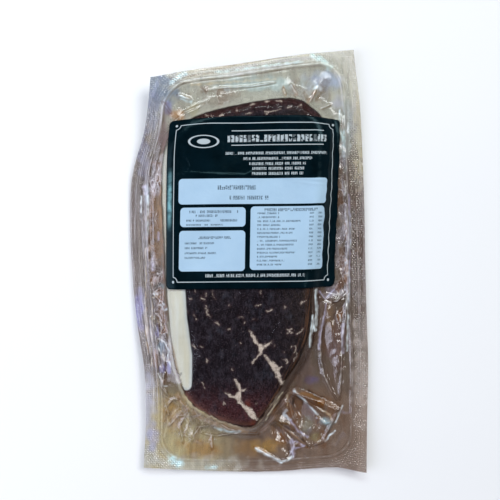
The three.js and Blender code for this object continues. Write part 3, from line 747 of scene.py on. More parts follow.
class Film:
    """The heights and fields of both films at points of the film's true rectangle."""

    def __init__(self, flat_x, flat_y):
        self.flat_x, self.flat_y = flat_x, flat_y
        self.x, self.y = drawn_in(flat_x, flat_y)
        self.d = from_outline(self.x, self.y)
        half_x, half_y = HALF_WIDTH - RIM_INSET_SIDE, HALF_LENGTH - RIM_INSET_END
        self.rim = rounded_box(flat_x, flat_y, half_x, half_y, RIM_RADIUS)
        u, v = on_label(self.x, self.y)
        from_label = rounded_box(u, v, LABEL_WIDTH / 2, LABEL_LENGTH / 2, LABEL_RADIUS)
        self.bare = smooth(0.0, 1.8, from_label)
        self.inside = smooth(-4, 0.5, self.d) * smooth(0.8, -1.5, self.rim)
        self.loose = self.inside * self.bare
        wander = 0.35 * noise(self.x, self.y, 7, 26)
        self.crumpled = np.full(self.x.shape, SMOOTH_SHARE)
        self.fine = np.zeros(self.x.shape)
        for *spot, share, fine in CRUMPLED:
            near = smooth(1.3, 0.6, from_spot(self.x, self.y, spot) + wander)
            self.crumpled = np.maximum(self.crumpled, share * near)
            self.fine = np.maximum(self.fine, fine * near)
        in_corner = smooth(1.3, 0.6, from_spot(self.x, self.y, DULL_CORNER))
        self.ringed = mix(1, 0.35, smooth(20, 50, self.x)) * mix(1, 0.25, smooth(-70, -100, self.y))
        self.ringed = self.ringed * mix(1, 0.35, in_corner)
        self.relief = self._relief()
        rows, columns = flat_x.shape
        rise_y, rise_x = np.gradient(self.relief, PACK_LENGTH / (rows - 1), PACK_WIDTH / (columns - 1))
        # How far the relief faces the pack's top left, for painted hill shading of the film's tint
        self.hill_shade = 0.8 * rise_x - 0.6 * rise_y
        self.slope = np.hypot(rise_x, rise_y)

    def _relief(self):
        x, y = self.x, self.y
        bottom, top = smooth(-72, -90, y), smooth(80, 94, y)
        right = smooth(-5, 12, x)
        side = (1 - bottom) * (1 - top)
        x_warped = x + 3 * noise(x, y, 13, 3) + 1.2 * noise(x, y, 4, 17)
        y_warped = y + 3 * noise(x, y, 11, 4) + 1.2 * noise(x, y, 4, 18)
        wide = facets(x_warped, y_warped, 9, 5)
        middling = facets(x_warped + 0.3 * y_warped, y_warped, 4.7, 6)
        fine = facets(x_warped, y_warped - 0.2 * x_warped, 2.6, 7)
        long_wide = facets(x_warped, 0.22 * y_warped, 4.6, 8)
        long_fine = facets(x_warped, 0.3 * y_warped, 2.2, 15)
        crumple = (bottom * (0.5 + 0.5 * right) + 0.3 * top) * wide
        crumple += (0.55 * bottom + 0.12 * top + 0.25 * side) * middling
        crumple += (0.32 * bottom * (1.3 - right) + 0.05 * top + 0.22 * side * (1.3 - right)) * fine
        crumple += side * (0.85 * long_wide + 0.35 * long_fine) + 0.5 * top * noise(x, y, 12, 9)
        crumple = crumple * self.loose * (0.15 + 0.85 * self.crumpled)
        folds = np.maximum(fold_height(x, y, self.d), crease_height(x, y, CREASES) * smooth(-2, 1.5, self.d))
        folds = folds * (1 - bottom * mix(0.4, 0.2, right))
        calm = 1 - np.maximum(0.85 * top, 0.45 * bottom * right)
        relief = folds + crumple * (1 - 0.2 * smooth(0, 1.2, folds))
        relief = relief + 0.22 * calm * facets(x, y, 2.1, 27) * smooth(0.2, 1, folds)
        for away, height, width in RIM_RIDGES:
            uneven = 0.8 + 0.5 * noise(x, 0.4 * y, 7, 10 + int(away))
            uneven = uneven * (self.ringed if away else 1 - 0.6 * bottom)
            relief = relief + height * uneven * np.exp(-(((self.rim - away) / width) ** 2))
        return relief

    def top(self):
        """The upper film's height."""
        x, y = self.x, self.y
        end = smooth(76, 88, y) * smooth(-14, -6, self.d)
        drawn = crease_height(x, y, STEAK_CREASES) + 0.16 * end * facets(x, y, 1.5, 19)
        drawn = self.bare * (drawn + 0.03 * noise(x, y, 5, 14))
        z = mix(steak_top(x, y) + drawn, flange_top(x, y) + self.relief, fallen(self.d))
        return np.maximum(z, self.base() + FILMS_APART)

    def base(self):
        """The lower film's height."""
        z = flange_top(self.x, self.y) + self.relief - FLANGE_THICKNESS
        return np.maximum(RESTING_HEIGHT, z * smooth(-BASE_INSET, SKIRT, self.d))


def linear(red, green, blue):
    """An sRGB colour in 0 to 255 as linear light."""
    share = np.array([red, green, blue]) / 255
    return np.where(share <= 0.04045, share / 12.92, ((share + 0.055) / 1.055) ** 2.4)


def grid(cells, low, high):
    """The points of an even grid, row by row, as x and y."""
    columns = np.linspace(low[0], high[0], cells[0] + 1)
    rows = np.linspace(low[1], high[1], cells[1] + 1)
    x, y = np.meshgrid(columns, rows)
    return x, y


def grid_quads(cells, first=0, down=False):
    """The faces of a grid whose points start at first, facing up, or down."""
    i, j = np.meshgrid(np.arange(cells[0]), np.arange(cells[1]))
    a = first + (j * (cells[0] + 1) + i).ravel()
    quads = np.stack([a, a + 1, a + cells[0] + 2, a + cells[0] + 1], axis=1)
    return quads[:, ::-1] if down else quads


def grid_border(cells, first=0):
    """The points round a grid's edge, anticlockwise from its lower left corner."""
    index = first + np.arange((cells[0] + 1) * (cells[1] + 1)).reshape(cells[1] + 1, cells[0] + 1)
    return np.concatenate([index[0, :-1], index[:-1, -1], index[-1, :0:-1], index[:0:-1, 0]])


def band(upper, lower):
    """The faces between two anticlockwise loops of points, facing out when the first is above."""
    return np.stack([upper, lower, np.roll(lower, -1), np.roll(upper, -1)], axis=1)


def make_piece(name, x, y, z, faces, material, vectors=(), colours=()):
    """A piece with smooth faces, from points in millimetres, with its fields as attributes."""
    points = np.stack([np.ravel(x), np.ravel(y), np.ravel(z)], axis=1) * MM
    mesh = bpy.data.meshes.new(name)
    mesh.from_pydata(points.tolist(), [], faces.tolist())
    mesh.update()
    mesh.shade_smooth()
    for key, values in dict(vectors).items():
        layer = mesh.attributes.new(key, "FLOAT_VECTOR", "POINT")
        layer.data.foreach_set("vector", np.stack([np.ravel(v) for v in values], axis=1).ravel())
    for key, values in dict(colours).items():
        layer = mesh.attributes.new(key, "FLOAT_COLOR", "POINT")
        layer.data.foreach_set("color", values.reshape(-1, 4).ravel())
    piece = bpy.data.objects.new(name, mesh)
    bpy.context.scene.collection.objects.link(piece)
    mesh.materials.append(material)
    return piece


def by_node(operation):
    """A method that works out a field from itself, and from another if it takes one, by a maths node."""
    return lambda field, *others: field.shader.number("ShaderNodeMath", (field, *others), operation=operation)


class Field:
    """A number that varies over a surface, worked out by shader nodes."""

    __add__, __sub__ = by_node("ADD"), by_node("SUBTRACT")
    __mul__, __truediv__ = by_node("MULTIPLY"), by_node("DIVIDE")
    maximum, minimum = by_node("MAXIMUM"), by_node("MINIMUM")
    power, sine = by_node("POWER"), by_node("SINE")
    floor, fraction = by_node("FLOOR"), by_node("FRACT")
    __abs__ = by_node("ABSOLUTE")

    def __init__(self, shader, socket):
        self.shader, self.socket = shader, socket

    def inverted(self):
        return self * -1 + 1

    def below(self, edge, blur=0.12):
        """1 where this is below the edge and 0 above it."""
        return self.ramp(edge + blur / 2, edge - blur / 2)

    def ramp(self, low, high, to_low=0.0, to_high=1.0):
        """This, taken from the range low to high on to another range and kept inside it."""
        return self.shader.number("ShaderNodeMapRange", (self, low, high, to_low, to_high))

    def near(self, middle, half_width, blur=0.12):
        """1 where this is within half_width of middle."""
        return abs(self - middle).below(half_width, blur)


def most(*fields):
    """The largest of some fields."""
    return functools.reduce(Field.maximum, fields)


def length(u, v):
    """How long the way is that goes u across and v up."""
    return (u * u + v * v).power(0.5)


class Shader:
    """A material, or a world, built from nodes."""

    def __init__(self, owner):
        self.owner = owner
        owner.use_nodes = True
        self.nodes, self.links = owner.node_tree.nodes, owner.node_tree.links
        self.nodes.clear()

    def node(self, kind, inputs=(), **settings):
        """A node with its settings, and its inputs given in order or by name."""
        node = self.nodes.new(kind)
        for key, value in settings.items():
            setattr(node, key, value)
        pairs = inputs.items() if isinstance(inputs, dict) else enumerate(inputs)
        for key, value in pairs:
            source = value.socket if isinstance(value, Field) else value
            if isinstance(source, bpy.types.NodeSocket):
                self.links.new(source, node.inputs[key])
            else:
                node.inputs[key].default_value = source
        return node

    def number(self, kind, inputs=(), **settings):
        return Field(self, self.node(kind, inputs, **settings).outputs[0])

    def parts(self, vector):
        """The three numbers of a vector or a colour."""
        return [Field(self, socket) for socket in self.node("ShaderNodeSeparateXYZ", (vector,)).outputs]

    def attribute(self, name):
        """The three numbers of a vector attribute."""
        return self.parts(self.node("ShaderNodeAttribute", attribute_name=name).outputs["Vector"])

    def colour_attribute(self, name):
        node = self.node("ShaderNodeAttribute", attribute_name=name)
        return node.outputs["Color"], Field(self, node.outputs["Alpha"])

    def place(self, scale=(1, 1, 1)):
        """The piece's own coordinates in millimetres, each times its scale."""
        own = self.node("ShaderNodeTexCoord").outputs["Object"]
        return self.vector("MULTIPLY", own, [value / MM for value in scale])

    def vector(self, operation, *inputs):
        return self.node("ShaderNodeVectorMath", inputs, operation=operation).outputs[0]

    def point(self, *numbers):
        """A place, or a grey colour, made of numbers."""
        return self.node("ShaderNodeCombineXYZ", numbers).outputs[0]

    def noise(self, place, scale, detail=2.0, roughness=0.5, distortion=0.0):
        inputs = {"Vector": place, "Scale": scale, "Detail": detail, "Roughness": roughness}
        return self.number("ShaderNodeTexNoise", {**inputs, "Distortion": distortion})

    def cells(self, place, scale, feature="F1"):
        return self.number("ShaderNodeTexVoronoi", {"Vector": place, "Scale": scale}, feature=feature)

    def warped(self, place, scale, amount):
        """The place, moved about by noise."""
        inputs = {"Vector": place, "Scale": scale, "Detail": 2.0}
        way = self.node("ShaderNodeTexNoise", inputs).outputs["Color"]
        way = self.vector("SUBTRACT", way, (0.5, 0.5, 0.5))
        return self.vector("ADD", place, self.vector("MULTIPLY", way, (amount, amount, amount)))

    def crumple(self, place, scale):
        """Cells of a crumpled surface: how far from the nearest edge, and each cell's own number."""
        edge = self.cells(place, scale, "DISTANCE_TO_EDGE")
        colour = self.node("ShaderNodeTexVoronoi", {"Vector": place, "Scale": scale}).outputs["Color"]
        return edge, self.parts(colour)[0]

    def random(self, place):
        return self.number("ShaderNodeTexWhiteNoise", {"Vector": place})

    def layers(self, colour, *layers):
        """A colour with layers over it, each a share and a colour."""
        for share, over in layers:
            colour = self.blend(share, colour, over)
        return colour

    def blend(self, share, first, second, how="MIX"):
        """The first colour where share is 0 and the second where it is 1."""
        first, second = ((*c, 1) if isinstance(c, (tuple, np.ndarray)) else c for c in (first, second))
        settings = {"data_type": "RGBA", "blend_type": how, "clamp_factor": True}
        return self.node("ShaderNodeMix", {0: share, 6: first, 7: second}, **settings).outputs[2]

    def bump(self, height_mm, strength=1.0):
        inputs = {"Height": height_mm, "Distance": MM, "Strength": strength}
        return self.node("ShaderNodeBump", inputs).outputs[0]

    def surface(self, **inputs):
        """A surface shader with its inputs given by their names in small letters."""
        named = {key.replace("_", " ").title().replace("Ior", "IOR"): value for key, value in inputs.items()}
        return self.node("ShaderNodeBsdfPrincipled", named)

    def finish(self, shader):
        kind = "World" if isinstance(self.owner, bpy.types.World) else "Material"
        self.node("ShaderNodeOutput" + kind, {"Surface": shader.outputs[0]})
        return self.owner


def film_material(name, thin):
    """Clear film with a warm tint in its crumple and nearly none on the steak, with painted glints,
    highlights and shade.
    """
    s = Shader(bpy.data.materials.new(name))
    tint_and_light, haze = s.colour_attribute("tint_and_light")
    flat_x, flat_y, rim = s.attribute("flat")
    passing, crease, loose = s.attribute("folds")
    fine, calm, ringed = s.attribute("crumple")
    place = s.place()
    wide_edge, wide_cell = s.crumple(s.warped(s.place((1, 0.6, 1)), 0.3, 3.0), 0.2)
    fine_edge, fine_cell = s.crumple(s.warped(s.place((1, 0.55, 1)), 0.5, 1.6), 0.46)
    patches = s.noise(place, 0.16, 2)
    along_rim = s.point(rim * 0.9, flat_x * 0.02, flat_y * 0.02)
    bands = s.noise(along_rim, 1.0, 2, 0.6)
    threads = s.noise(along_rim, 2.1, 2, 0.5)
    margin = rim.ramp(-3, 0.5) * ringed
    thread = margin * threads.near(0.5, 0.012, 0.03)
    sharp = loose.ramp(0.06, 0.4)
    light_band, dark_band = margin * bands.ramp(0.53, 0.58), margin * bands.ramp(0.47, 0.42)
    up, down = flat_x + flat_y, flat_x - flat_y
    hatch = (up * 2.4).sine() * (down * 2.4).sine() + (up * 3.2).sine() * 0.5
    sealed = rim.ramp(1.5, 3.0)
    patchy = s.noise(place, 0.09, 2).ramp(0.42, 0.58, 0.3, 1)
    ripple = s.noise(s.place((1, 0.35, 1)), 0.55, 3, 0.6)
    grain = s.noise(place, 2.2, 2)
    # Where highlights are painted, along crease crests and the rim's ridges, and where shade is painted,
    # beside them
    crest = crease.ramp(0.1, 0.5, 1, 0)
    beside = crease.near(0.95, 0.3, 0.3)
    rim_crest = rim.near(0.2, 0.16, 0.3).maximum(rim.near(5.7, 0.12, 0.3) * 0.8) * ripple.ramp(0.4, 0.6)
    rim_beside = rim.near(-0.9, 0.3, 0.4).maximum(rim.near(1.4, 0.25, 0.4)) * patches.ramp(0.35, 0.6)
    web = wide_edge.ramp(0.01, 0.08, 1, 0) * ripple.ramp(0.4, 0.54)
    fine_web = fine_edge.ramp(0.02, 0.15, 1, 0) * patches.ramp(0.4, 0.54) * fine
    web = (web * 0.8).maximum(fine_web) * sharp * calm
    shadow = wide_edge.near(0.15, 0.06, 0.08) * sharp * ripple.ramp(0.62, 0.48)
    woven = hatch * sealed * patchy
    height = woven * 0.12 + (ripple * 0.14 + grain * 0.015) * (passing * 2.4 + 0.4)
    crumpled = (wide_cell - 0.5) * wide_edge * 5.5 + (fine_cell - 0.5) * fine_edge * fine * 2.4
    height = height + crumpled * loose + bands * margin * 0.5
    normal = s.bump(height)
    colour = s.blend(light_band * 0.4, tint_and_light, linear(222, 218, 226))
    colour = s.blend(dark_band * 0.8, colour, (0.6, 0.52, 0.46), "MULTIPLY")
    colour = s.layers(colour, (sharp * wide_cell.ramp(0.62, 0.8) * 0.6, linear(140, 88, 38)),
                      (sharp * wide_cell.ramp(0.3, 0.15) * 0.4, linear(180, 170, 182)),
                      (sharp * fine_cell.ramp(0.7, 0.8) * fine * 0.45, linear(88, 56, 38)))
    # Painted shade beside creases, beside the rim's ridges and at the crumple's cell edges
    dark = most(beside, rim_beside * 0.8, shadow * 0.8)
    colour = s.blend(dark * 0.75, colour, (0.42, 0.33, 0.27), "MULTIPLY")
    # Painted highlights along crease crests, the rim's ridges and the crumple's cell edges, with fine threads
    # in the margin
    pale = most(crest * calm, rim_crest, web * 0.8, thread * 0.7)
    colour = s.blend(pale * 0.75, colour, linear(214, 210, 208))
    streaks = s.noise(s.place((1, 0.16, 1)), 0.5, 3, 0.6).ramp(0.35, 0.75, 0.82, 1.1)
    speckle = streaks + woven * 0.36
    colour = s.blend(1.0, colour, s.point(speckle, speckle, speckle), "MULTIPLY")
    roughness = s.noise(place, 0.3, 2).ramp(0.3, 0.7, 0.06, 0.16)
    body = s.surface(base_color=colour, roughness=roughness, ior=1.52, normal=normal, coat_normal=normal,
                     coat_weight=calm.ramp(-1, 1, 0, 1), coat_roughness=0.06, coat_ior=1.58)
    clear = s.node("ShaderNodeBsdfTransparent", {"Color": s.blend(passing, (1, 1, 1), colour)})
    lines = most(pale, dark, dark_band * 0.8)
    alpha = haze * s.noise(place, 0.25, 3).ramp(0.25, 0.75, thin, 1.0) * (lines * 0.5 + 1)
    alpha = (alpha * (woven * -0.2 + 1) + crest * 0.1).minimum(0.97)
    return s.finish(s.node("ShaderNodeMixShader", (alpha, clear.outputs[0], body.outputs[0])))


def over(colour, tone, share):
    """A colour with a share of another tone over it."""
    return mix(colour, linear(*tone), share[..., None])


def film_colours(film, strength):
    """The film's tint with painted glints, highlights and shade over it, and its haze as the fourth number.
    """
    x, y = film.x, film.y
    right = smooth(-12, 22, x + 6 * noise(x, y, 30, 20))
    top = smooth(50, 100, y + 8 * noise(x, y, 30, 21))
    bottom = smooth(-62, -88, y + 8 * noise(x, y, 26, 22))
    # The film's tint by region: brown along the sides, yellow to brown at the bottom end, and paler cream
    # towards the top end, partly the film's tint and partly a painted reflection
    side = mix(linear(118, 102, 88), linear(126, 107, 90), right[..., None])
    low = mix(linear(208, 194, 148), linear(146, 120, 100), smooth(-36, 4, x)[..., None])
    colour = mix(mix(side, linear(208, 207, 190), top[..., None]), low, bottom[..., None])
    brown = smooth(0.1, 0.6, noise(x, 0.3 * y, 6, 23)) * smooth(3, -1, film.rim) * (1 - 0.7 * top)
    colour = over(colour, (122, 88, 62), 0.5 * brown)
    # Painted shade: the film darker brown, in streaks, close beside the steak
    skirt = smooth(8, 1, film.d) * (1 - top) * (1 - 0.85 * bottom * (1 - right))
    lines = 0.6 + 0.6 * noise(film.d, 0.12 * y, 1.6, 28)
    depth = 0.35 * skirt
    colour = over(colour, (88, 64, 48), 0.65 * skirt * lines)
    gone = 0.8 * smooth(-0.3, 0.6, noise(x, 0.5 * y, 16, 29)) * smooth(20, 50, np.abs(y))
    margin = smooth(-2, 0, film.rim) * (1 - gone)
    # The rim's bands: painted highlights on its ridges and painted shade beside them
    distances, tones = zip(*MARGIN_BANDS)
    banded = np.stack([np.interp(film.rim, distances, tone) for tone in zip(*tones)], axis=-1)
    colour = colour * mix(1, banded, (0.75 * margin * film.ringed)[..., None])
    wander = 0.5 * noise(x, y, 5, 24)
    # Patches over the tint, the pale bluish and lilac ones painted reflections and glints
    for *spot, patch, share in TINT_AND_LIGHT_PATCHES:
        near = share * smooth(1.3, 0.4, from_spot(x, y, spot) + wander)
        colour = over(colour, patch, near)
        depth = np.maximum(depth, near * (1 - max(patch) / 255))
    over_edge = 0.3 + mix(0.7 * smooth(-58, -72, y), 1.3 * smooth(-10, -34, y), smooth(-10, -26, x))
    ragged = film.d + edge_inset(x, y) + over_edge
    reach = 1.5 + 3 * right * (1 - top)
    cover = smooth(-0.7, -0.1, ragged) * smooth(reach + 1.5, reach - 1, ragged) * (1 - 0.9 * top)
    # Painted shade, dark brown, in the film beside the lower half of the steak's right side
    shade_by_steak = cover * right * (1 - top) * smooth(0, -16, y)
    relief = film.relief
    around = sum(np.roll(np.roll(relief, i, 0), j, 1) for i in (-3, 0, 3) for j in (-3, 0, 3)) / 9
    valley = smooth(0.05, 0.5, around - relief)
    # Painted shade in the hollows of the film's relief
    colour = over(colour, (74, 48, 34), 0.55 * valley)
    # Painted hill shading: flanks facing away from the top left darker brown, flanks facing it lighter lilac
    for share, at_side, at_top in ((0.5 * smooth(0.06, 0.5, -film.hill_shade), (82, 54, 38), (150, 140, 116)),
                                   (0.18 * smooth(0.1, 0.6, film.hill_shade), (176, 172, 184), (214, 224, 222))):
        hill_shade = mix(linear(*at_side), linear(*at_top), top[..., None])
        colour = mix(colour, hill_shade, share[..., None])
    colour = over(colour, (56, 34, 20), 0.95 * shade_by_steak)
    drawn = np.zeros(x.shape)
    x_warped, y_warped = x + 0.5 * noise(x, y, 3.5, 46), y + 0.5 * noise(x, y, 3.2, 47)
    strength_here = np.clip(0.75 + 0.55 * noise(x, y, 3.1, 48), 0, 1)
    uneven = 0.4 * noise(x, y, 1.9, 45)
    # Lines over the tint, most of them painted glints, highlights and shade along the folds
    for half_width, share, tone, points in TINT_AND_LIGHT_LINES:
        away = np.min([away for away, _ in from_line(x_warped, y_warped, points)], axis=0)
        near = share * strength_here * smooth(1.5, 0.3, away / half_width + uneven)
        colour = over(colour, tone, near)
        drawn = np.maximum(drawn, near)
    # A painted highlight: a pale line along the steak's lower left edge
    edge = 0.7 * smooth(0.9, 0.2, np.abs(ragged - 0.1)) * bottom * (1 - right)
    edge = edge * smooth(-0.3, 0.3, noise(x, y, 6, 49))
    colour = over(colour, (210, 194, 164), edge)
    drawn = np.maximum(drawn, edge)
    haze = strength * (1 + 0.5 * valley + 0.4 * smooth(0.1, 0.7, film.slope) + 1.8 * depth)
    haze = np.maximum(np.minimum(haze, TINTED_HAZE), mix(haze, DRAWN_HAZE, np.maximum(drawn, 0.8 * cover)))
    haze = np.minimum(haze, DRAWN_HAZE) * smooth(-0.9, 0.2, ragged)
    on_steak = 1 - smooth(-1.4, -0.2, ragged)
    colour = colour * (1 - on_steak[..., None])
    haze = haze + STEAK_HAZE * on_steak
    return np.concatenate([colour, haze[..., None]], axis=-1)


def film_fields(film):
    """The film's true rectangle, how much it tints what is seen through it, and where it is creased."""
    x, y, d = film.x, film.y, film.d
    passing = 0.4 * smooth(-1.5, 1.5, d)
    loose = film.inside * film.crumpled * (1 - 0.4 * smooth(70, 90, y))
    loose = np.maximum(loose, 0.2 * smooth(-15, -8, d) * smooth(1, -3, d) * smooth(76, 84, y))
    calm = 1 - 0.8 * smooth(1.2, 0.8, from_spot(x, y, STAR))
    beside_lean = smooth(-1, 0.5, d) * smooth(8, 4, d) * smooth(-6, 4, x) * smooth(-4, -18, y)
    upper_arm = smooth(6, 4, from_way(x, y, *STAR_UPPER_ARM)[0])
    calm = np.minimum(calm, 1 - 1.9 * np.maximum(beside_lean, upper_arm))
    return {"flat": (film.flat_x, film.flat_y, film.rim), "folds": (passing, crease_distance(x, y), loose),
            "crumple": (film.fine, calm, film.ringed)}


def crease_distance(x, y):
    """How far points are from the nearest crease, and further towards the ends of each crease."""
    nearest = np.full(x.shape, 5.0)
    uneven = 0.2 * noise(x, y, 3, 25)
    for height, _, points in (*CREASES, *((0.5 * h, w, p) for h, w, p in STEAK_CREASES)):
        for away, to_end in from_line(x, y, points):
            at_end = 0.35 * np.clip(1 - 6 * to_end, 0, 1)
            nearest = np.minimum(nearest, away + at_end + 0.12 / height + uneven)
    return nearest


def make_films():
    """The upper and the lower film, sealed together round the steak."""
    for name, cells, down, thin, strength in FILMS:
        film = Film(*grid(cells, (-HALF_WIDTH, -HALF_LENGTH), (HALF_WIDTH, HALF_LENGTH)))
        height = film.base() if down else film.top()
        piece = make_piece(name, film.x, film.y, height, grid_quads(cells, down=down),
                           film_material("clear_" + name, thin), film_fields(film),
                           {"tint_and_light": film_colours(film, strength)})
        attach(piece, "root")
        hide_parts("vacuum_pack")


def covered_seams():
    """Seams of marbling where the label covers the steak, wandering up its length."""
    draw = np.random.default_rng(COVERED_SEAM_SEED)
    seams = []
    for _ in range(COVERED_SEAMS):
        x, y = draw.uniform(-30, 34), draw.uniform(-8, 66)
        heading = draw.uniform(0.9, 2.4)
        line = []
        for _ in range(draw.integers(4, 8)):
            line.append((x, y, draw.uniform(0.6, 2.2)))
            heading += draw.uniform(-0.6, 0.6)
            x, y = x + 3.4 * math.cos(heading), y + 3.4 * math.sin(heading)
        seams.append(line)
    return seams


def marbling(x, y):
    """How far points are outside the nearest seam or fleck of marbling."""
    away = np.full(x.shape, 9.0)
    x, y = x + 0.8 * noise(x, y, 2.4, 41), y + 0.8 * noise(x, y, 2.1, 42)
    for lines, share in ((SEAMS, 1.0), (FLECKS, 0.3), (covered_seams(), 1.0)):
        for line in lines:
            for a, b in zip(line, line[1:]):
                from_line, along = from_way(x, y, a, b)
                away = np.minimum(away, from_line - mix(a[2], b[2], along) / 2 * share)
    return away


def fat_strip(x, y):
    """How far points are outside the strip of fat."""
    beside = x - np.interp(y, *zip(*FAT_RIGHT)) + FAT_CORNER
    below = FAT_TIP - y + 0.12 * (x + 36) ** 2 + FAT_CORNER
    outside = np.hypot(np.maximum(beside, 0), np.maximum(below, 0))
    return outside + np.minimum(np.maximum(beside, below), 0) - FAT_CORNER


def beyond_fat(x, y):
    """How far points are past the left edge of the fat's flat top."""
    return np.interp(y, *zip(*FAT_LEFT)) - x


def edge_inset(x, y):
    """How far the steak's uneven edge is inside its outline."""
    low = smooth(-58, -72, y)
    return (0.2 + 0.55 * low) * (1 + noise(x, y, 5, 33)) + 0.45 * (0.3 + low) * (1 + noise(x, y, 1.9, 34))


def inset_curve(inset):
    """The steak's uneven outline moved in, as radii at even angles in a frame where it is nearly round."""
    outline = closed_curve(OUTLINE, CHORDS_PER_RAGGED)
    along = np.roll(outline, -1, axis=0) - np.roll(outline, 1, axis=0)
    along = along / np.hypot(*along.T)[:, None]
    inward = np.stack([along[:, 1], -along[:, 0]], axis=1)
    moved = (outline + (inset + edge_inset(*outline.T))[:, None] * inward - STEAK_MIDDLE) / STEAK_HALF
    angle = np.arctan2(moved[:, 1], moved[:, 0])
    order = np.argsort(angle)
    return angle[order], np.hypot(*moved[order].T)


def in_outline(angle, share, inset):
    """The point at a share of the way from the steak's middle to its outline moved in."""
    known, radii = inset_curve(inset)
    radius = share * np.interp(angle, known, radii, period=2 * math.pi)
    x = STEAK_MIDDLE[0] + STEAK_HALF[0] * radius * np.cos(angle)
    y = STEAK_MIDDLE[1] + STEAK_HALF[1] * radius * np.sin(angle)
    return x, y


def rounded(inset, reach):
    """A quarter round that rises from 0 at the steak's outline to 1 at the reach inside it."""
    return np.sqrt(np.clip(1 - (1 - np.minimum(inset, reach) / reach) ** 2, 0, 1))


def steak_height(x, y, inset):
    """The height of the steak's top, at a distance inside its outline."""
    return WAIST + (steak_top(x, y) - TOP_GAP - WAIST) * rounded(inset, SHOULDER)


def steak_base(inset):
    return WAIST - (WAIST - BASE_LIFT) * rounded(inset, BASE_INSET)


def steak_material():
    """Dark lean with fibres along the steak, a strip of fat on the left, and marbling, with painted sheen and
    shade in places.
    """
    s = Shader(bpy.data.materials.new("steak"))
    fat, marble, beyond = s.attribute("marks")
    end, spot, _ = s.attribute("ends")
    red, olive, out = s.attribute("tones")
    place = s.place()
    fibres = s.noise(s.place((1, 0.5, 0.7)), 0.8, 4, 0.65, 0.6)
    mottle = s.noise(s.place((1, 0.75, 1)), 0.34, 3, 0.6)
    strands = s.noise(s.place((1, 0.14, 0.5)), 2.2, 3, 0.6)
    blotches = s.noise(place, 0.1, 3, 0.6)
    grain = s.noise(place, 1.7, 3, 0.7)
    fine = s.noise(place, 3.0, 2, 0.5)
    place_noise = s.noise(place, 0.4, 2, 0.5)
    lean = s.layers(linear(3, 3, 6), (fibres.ramp(0.38, 0.62), linear(27, 25, 31)),
                    (blotches.ramp(0.4, 0.65) * 0.5, linear(10, 12, 18)),
                    (strands.ramp(0.54, 0.68) * 0.4, linear(54, 49, 58)),
                    (mottle.ramp(0.52, 0.64) * 0.5, linear(48, 44, 50)),
                    (mottle.ramp(0.46, 0.36) * 0.7, linear(5, 5, 8)),
                    (olive * fibres.ramp(0.35, 0.65, 0.1, 0.9), linear(42, 36, 30)),
                    (red * fibres.ramp(0.35, 0.65, 0.2, 1), linear(74, 28, 28)),
                    (red * grain.ramp(0.5, 0.64) * 0.8, linear(128, 84, 82)))
    upright = s.parts(place)[1]
    streaky = s.noise(s.point(out * 0.9, upright * 0.07), 1.0, 3, 0.65)
    lower = upright.below(0)
    rust = s.blend(grain.ramp(0.42, 0.6), s.blend(lower, linear(20, 10, 11), linear(34, 18, 20)),
                   s.blend(lower, linear(66, 36, 34), linear(108, 72, 66)))
    fringe = end * lower * (out + (fine - 0.5) * 4).ramp(-5.5, -2.4)
    # A painted bluish sheen on the lean
    blue_sheen = s.noise(s.place((1, 0.6, 1)), 0.14, 3, 0.6).ramp(0.56, 0.7)
    # The band down the steak's sloping side: brown streaks of its own, darkened in streaks by painted shade
    band = out.ramp(-7, -3) * end.inverted()
    speck = grain.ramp(0.54, 0.68) * fine.ramp(0.42, 0.6)
    faint = s.cells(s.place((1, 0.7, 1)), 0.4).ramp(0.07, 0.17, 1, 0) * grain.ramp(0.45, 0.6)
    frayed = marble + (fine - 0.5) * 1.7 + (grain - 0.5) * 1.5 - 0.05
    seam = frayed.below(0, 0.65)
    lean = s.layers(lean, (end * out.ramp(-9, -4) * fibres.ramp(0.34, 0.5, 0.4, 1), rust),
                    (fringe * 0.8, linear(140, 94, 82)),
                    (blue_sheen * fibres.ramp(0.35, 0.65, 0.2, 1) * 0.4, linear(66, 70, 80)),
                    (band * streaky.ramp(0.44, 0.6), linear(84, 58, 42)),
                    (band * streaky.ramp(0.46, 0.36) * 0.8, linear(10, 6, 5)),
                    (spot * grain.ramp(0.35, 0.6, 0.4, 1), linear(104, 48, 36)),
                    (speck * 0.6, linear(88, 82, 90)),
                    (faint * 0.45, linear(120, 104, 102)),
                    (frayed.below(0.8, 1.5) * 0.3, linear(76, 52, 52)))
    pale = s.blend(grain.ramp(0.35, 0.65), linear(206, 194, 178), linear(168, 148, 136))
    colour = s.blend(seam * place_noise.ramp(0.3, 0.52, 0.4, 1), lean, pale)
    streaks = s.noise(s.place((1, 0.07, 1)), 0.4, 3, 0.5)
    skin = s.blend(grain.ramp(0.4, 0.6), linear(186, 172, 150), linear(150, 128, 106))
    # Fat: cream with streaks, painted bluish shading along its edge by the lean, grain, and the skin of its
    # side
    cream = s.layers(linear(208, 209, 199), (streaks.ramp(0.3, 0.75), linear(198, 193, 170)),
                     (fat.ramp(-2.4, -0.4) * 0.5, linear(164, 174, 182)),
                     (grain.ramp(0.45, 0.7) * 0.25, linear(168, 158, 142)),
                     ((beyond + (fine - 0.5) * 2).ramp(-0.3, 0.9), skin))
    fat_edge = fat + (fine - 0.5) * 0.8 + (streaks - 0.5) * 1.2
    colour = s.blend(fat_edge.below(0, 0.7), colour, cream)
    height = fibres * 0.25 + grain * 0.12 + fine * 0.08 + seam * 0.08 + streaks * 0.1
    roughness = grain.ramp(0.3, 0.7, 0.42, 0.6)
    bump = s.bump(height)
    surface = s.surface(base_color=colour, roughness=roughness, specular_ior_level=0.04, normal=bump)
    return s.finish(surface)


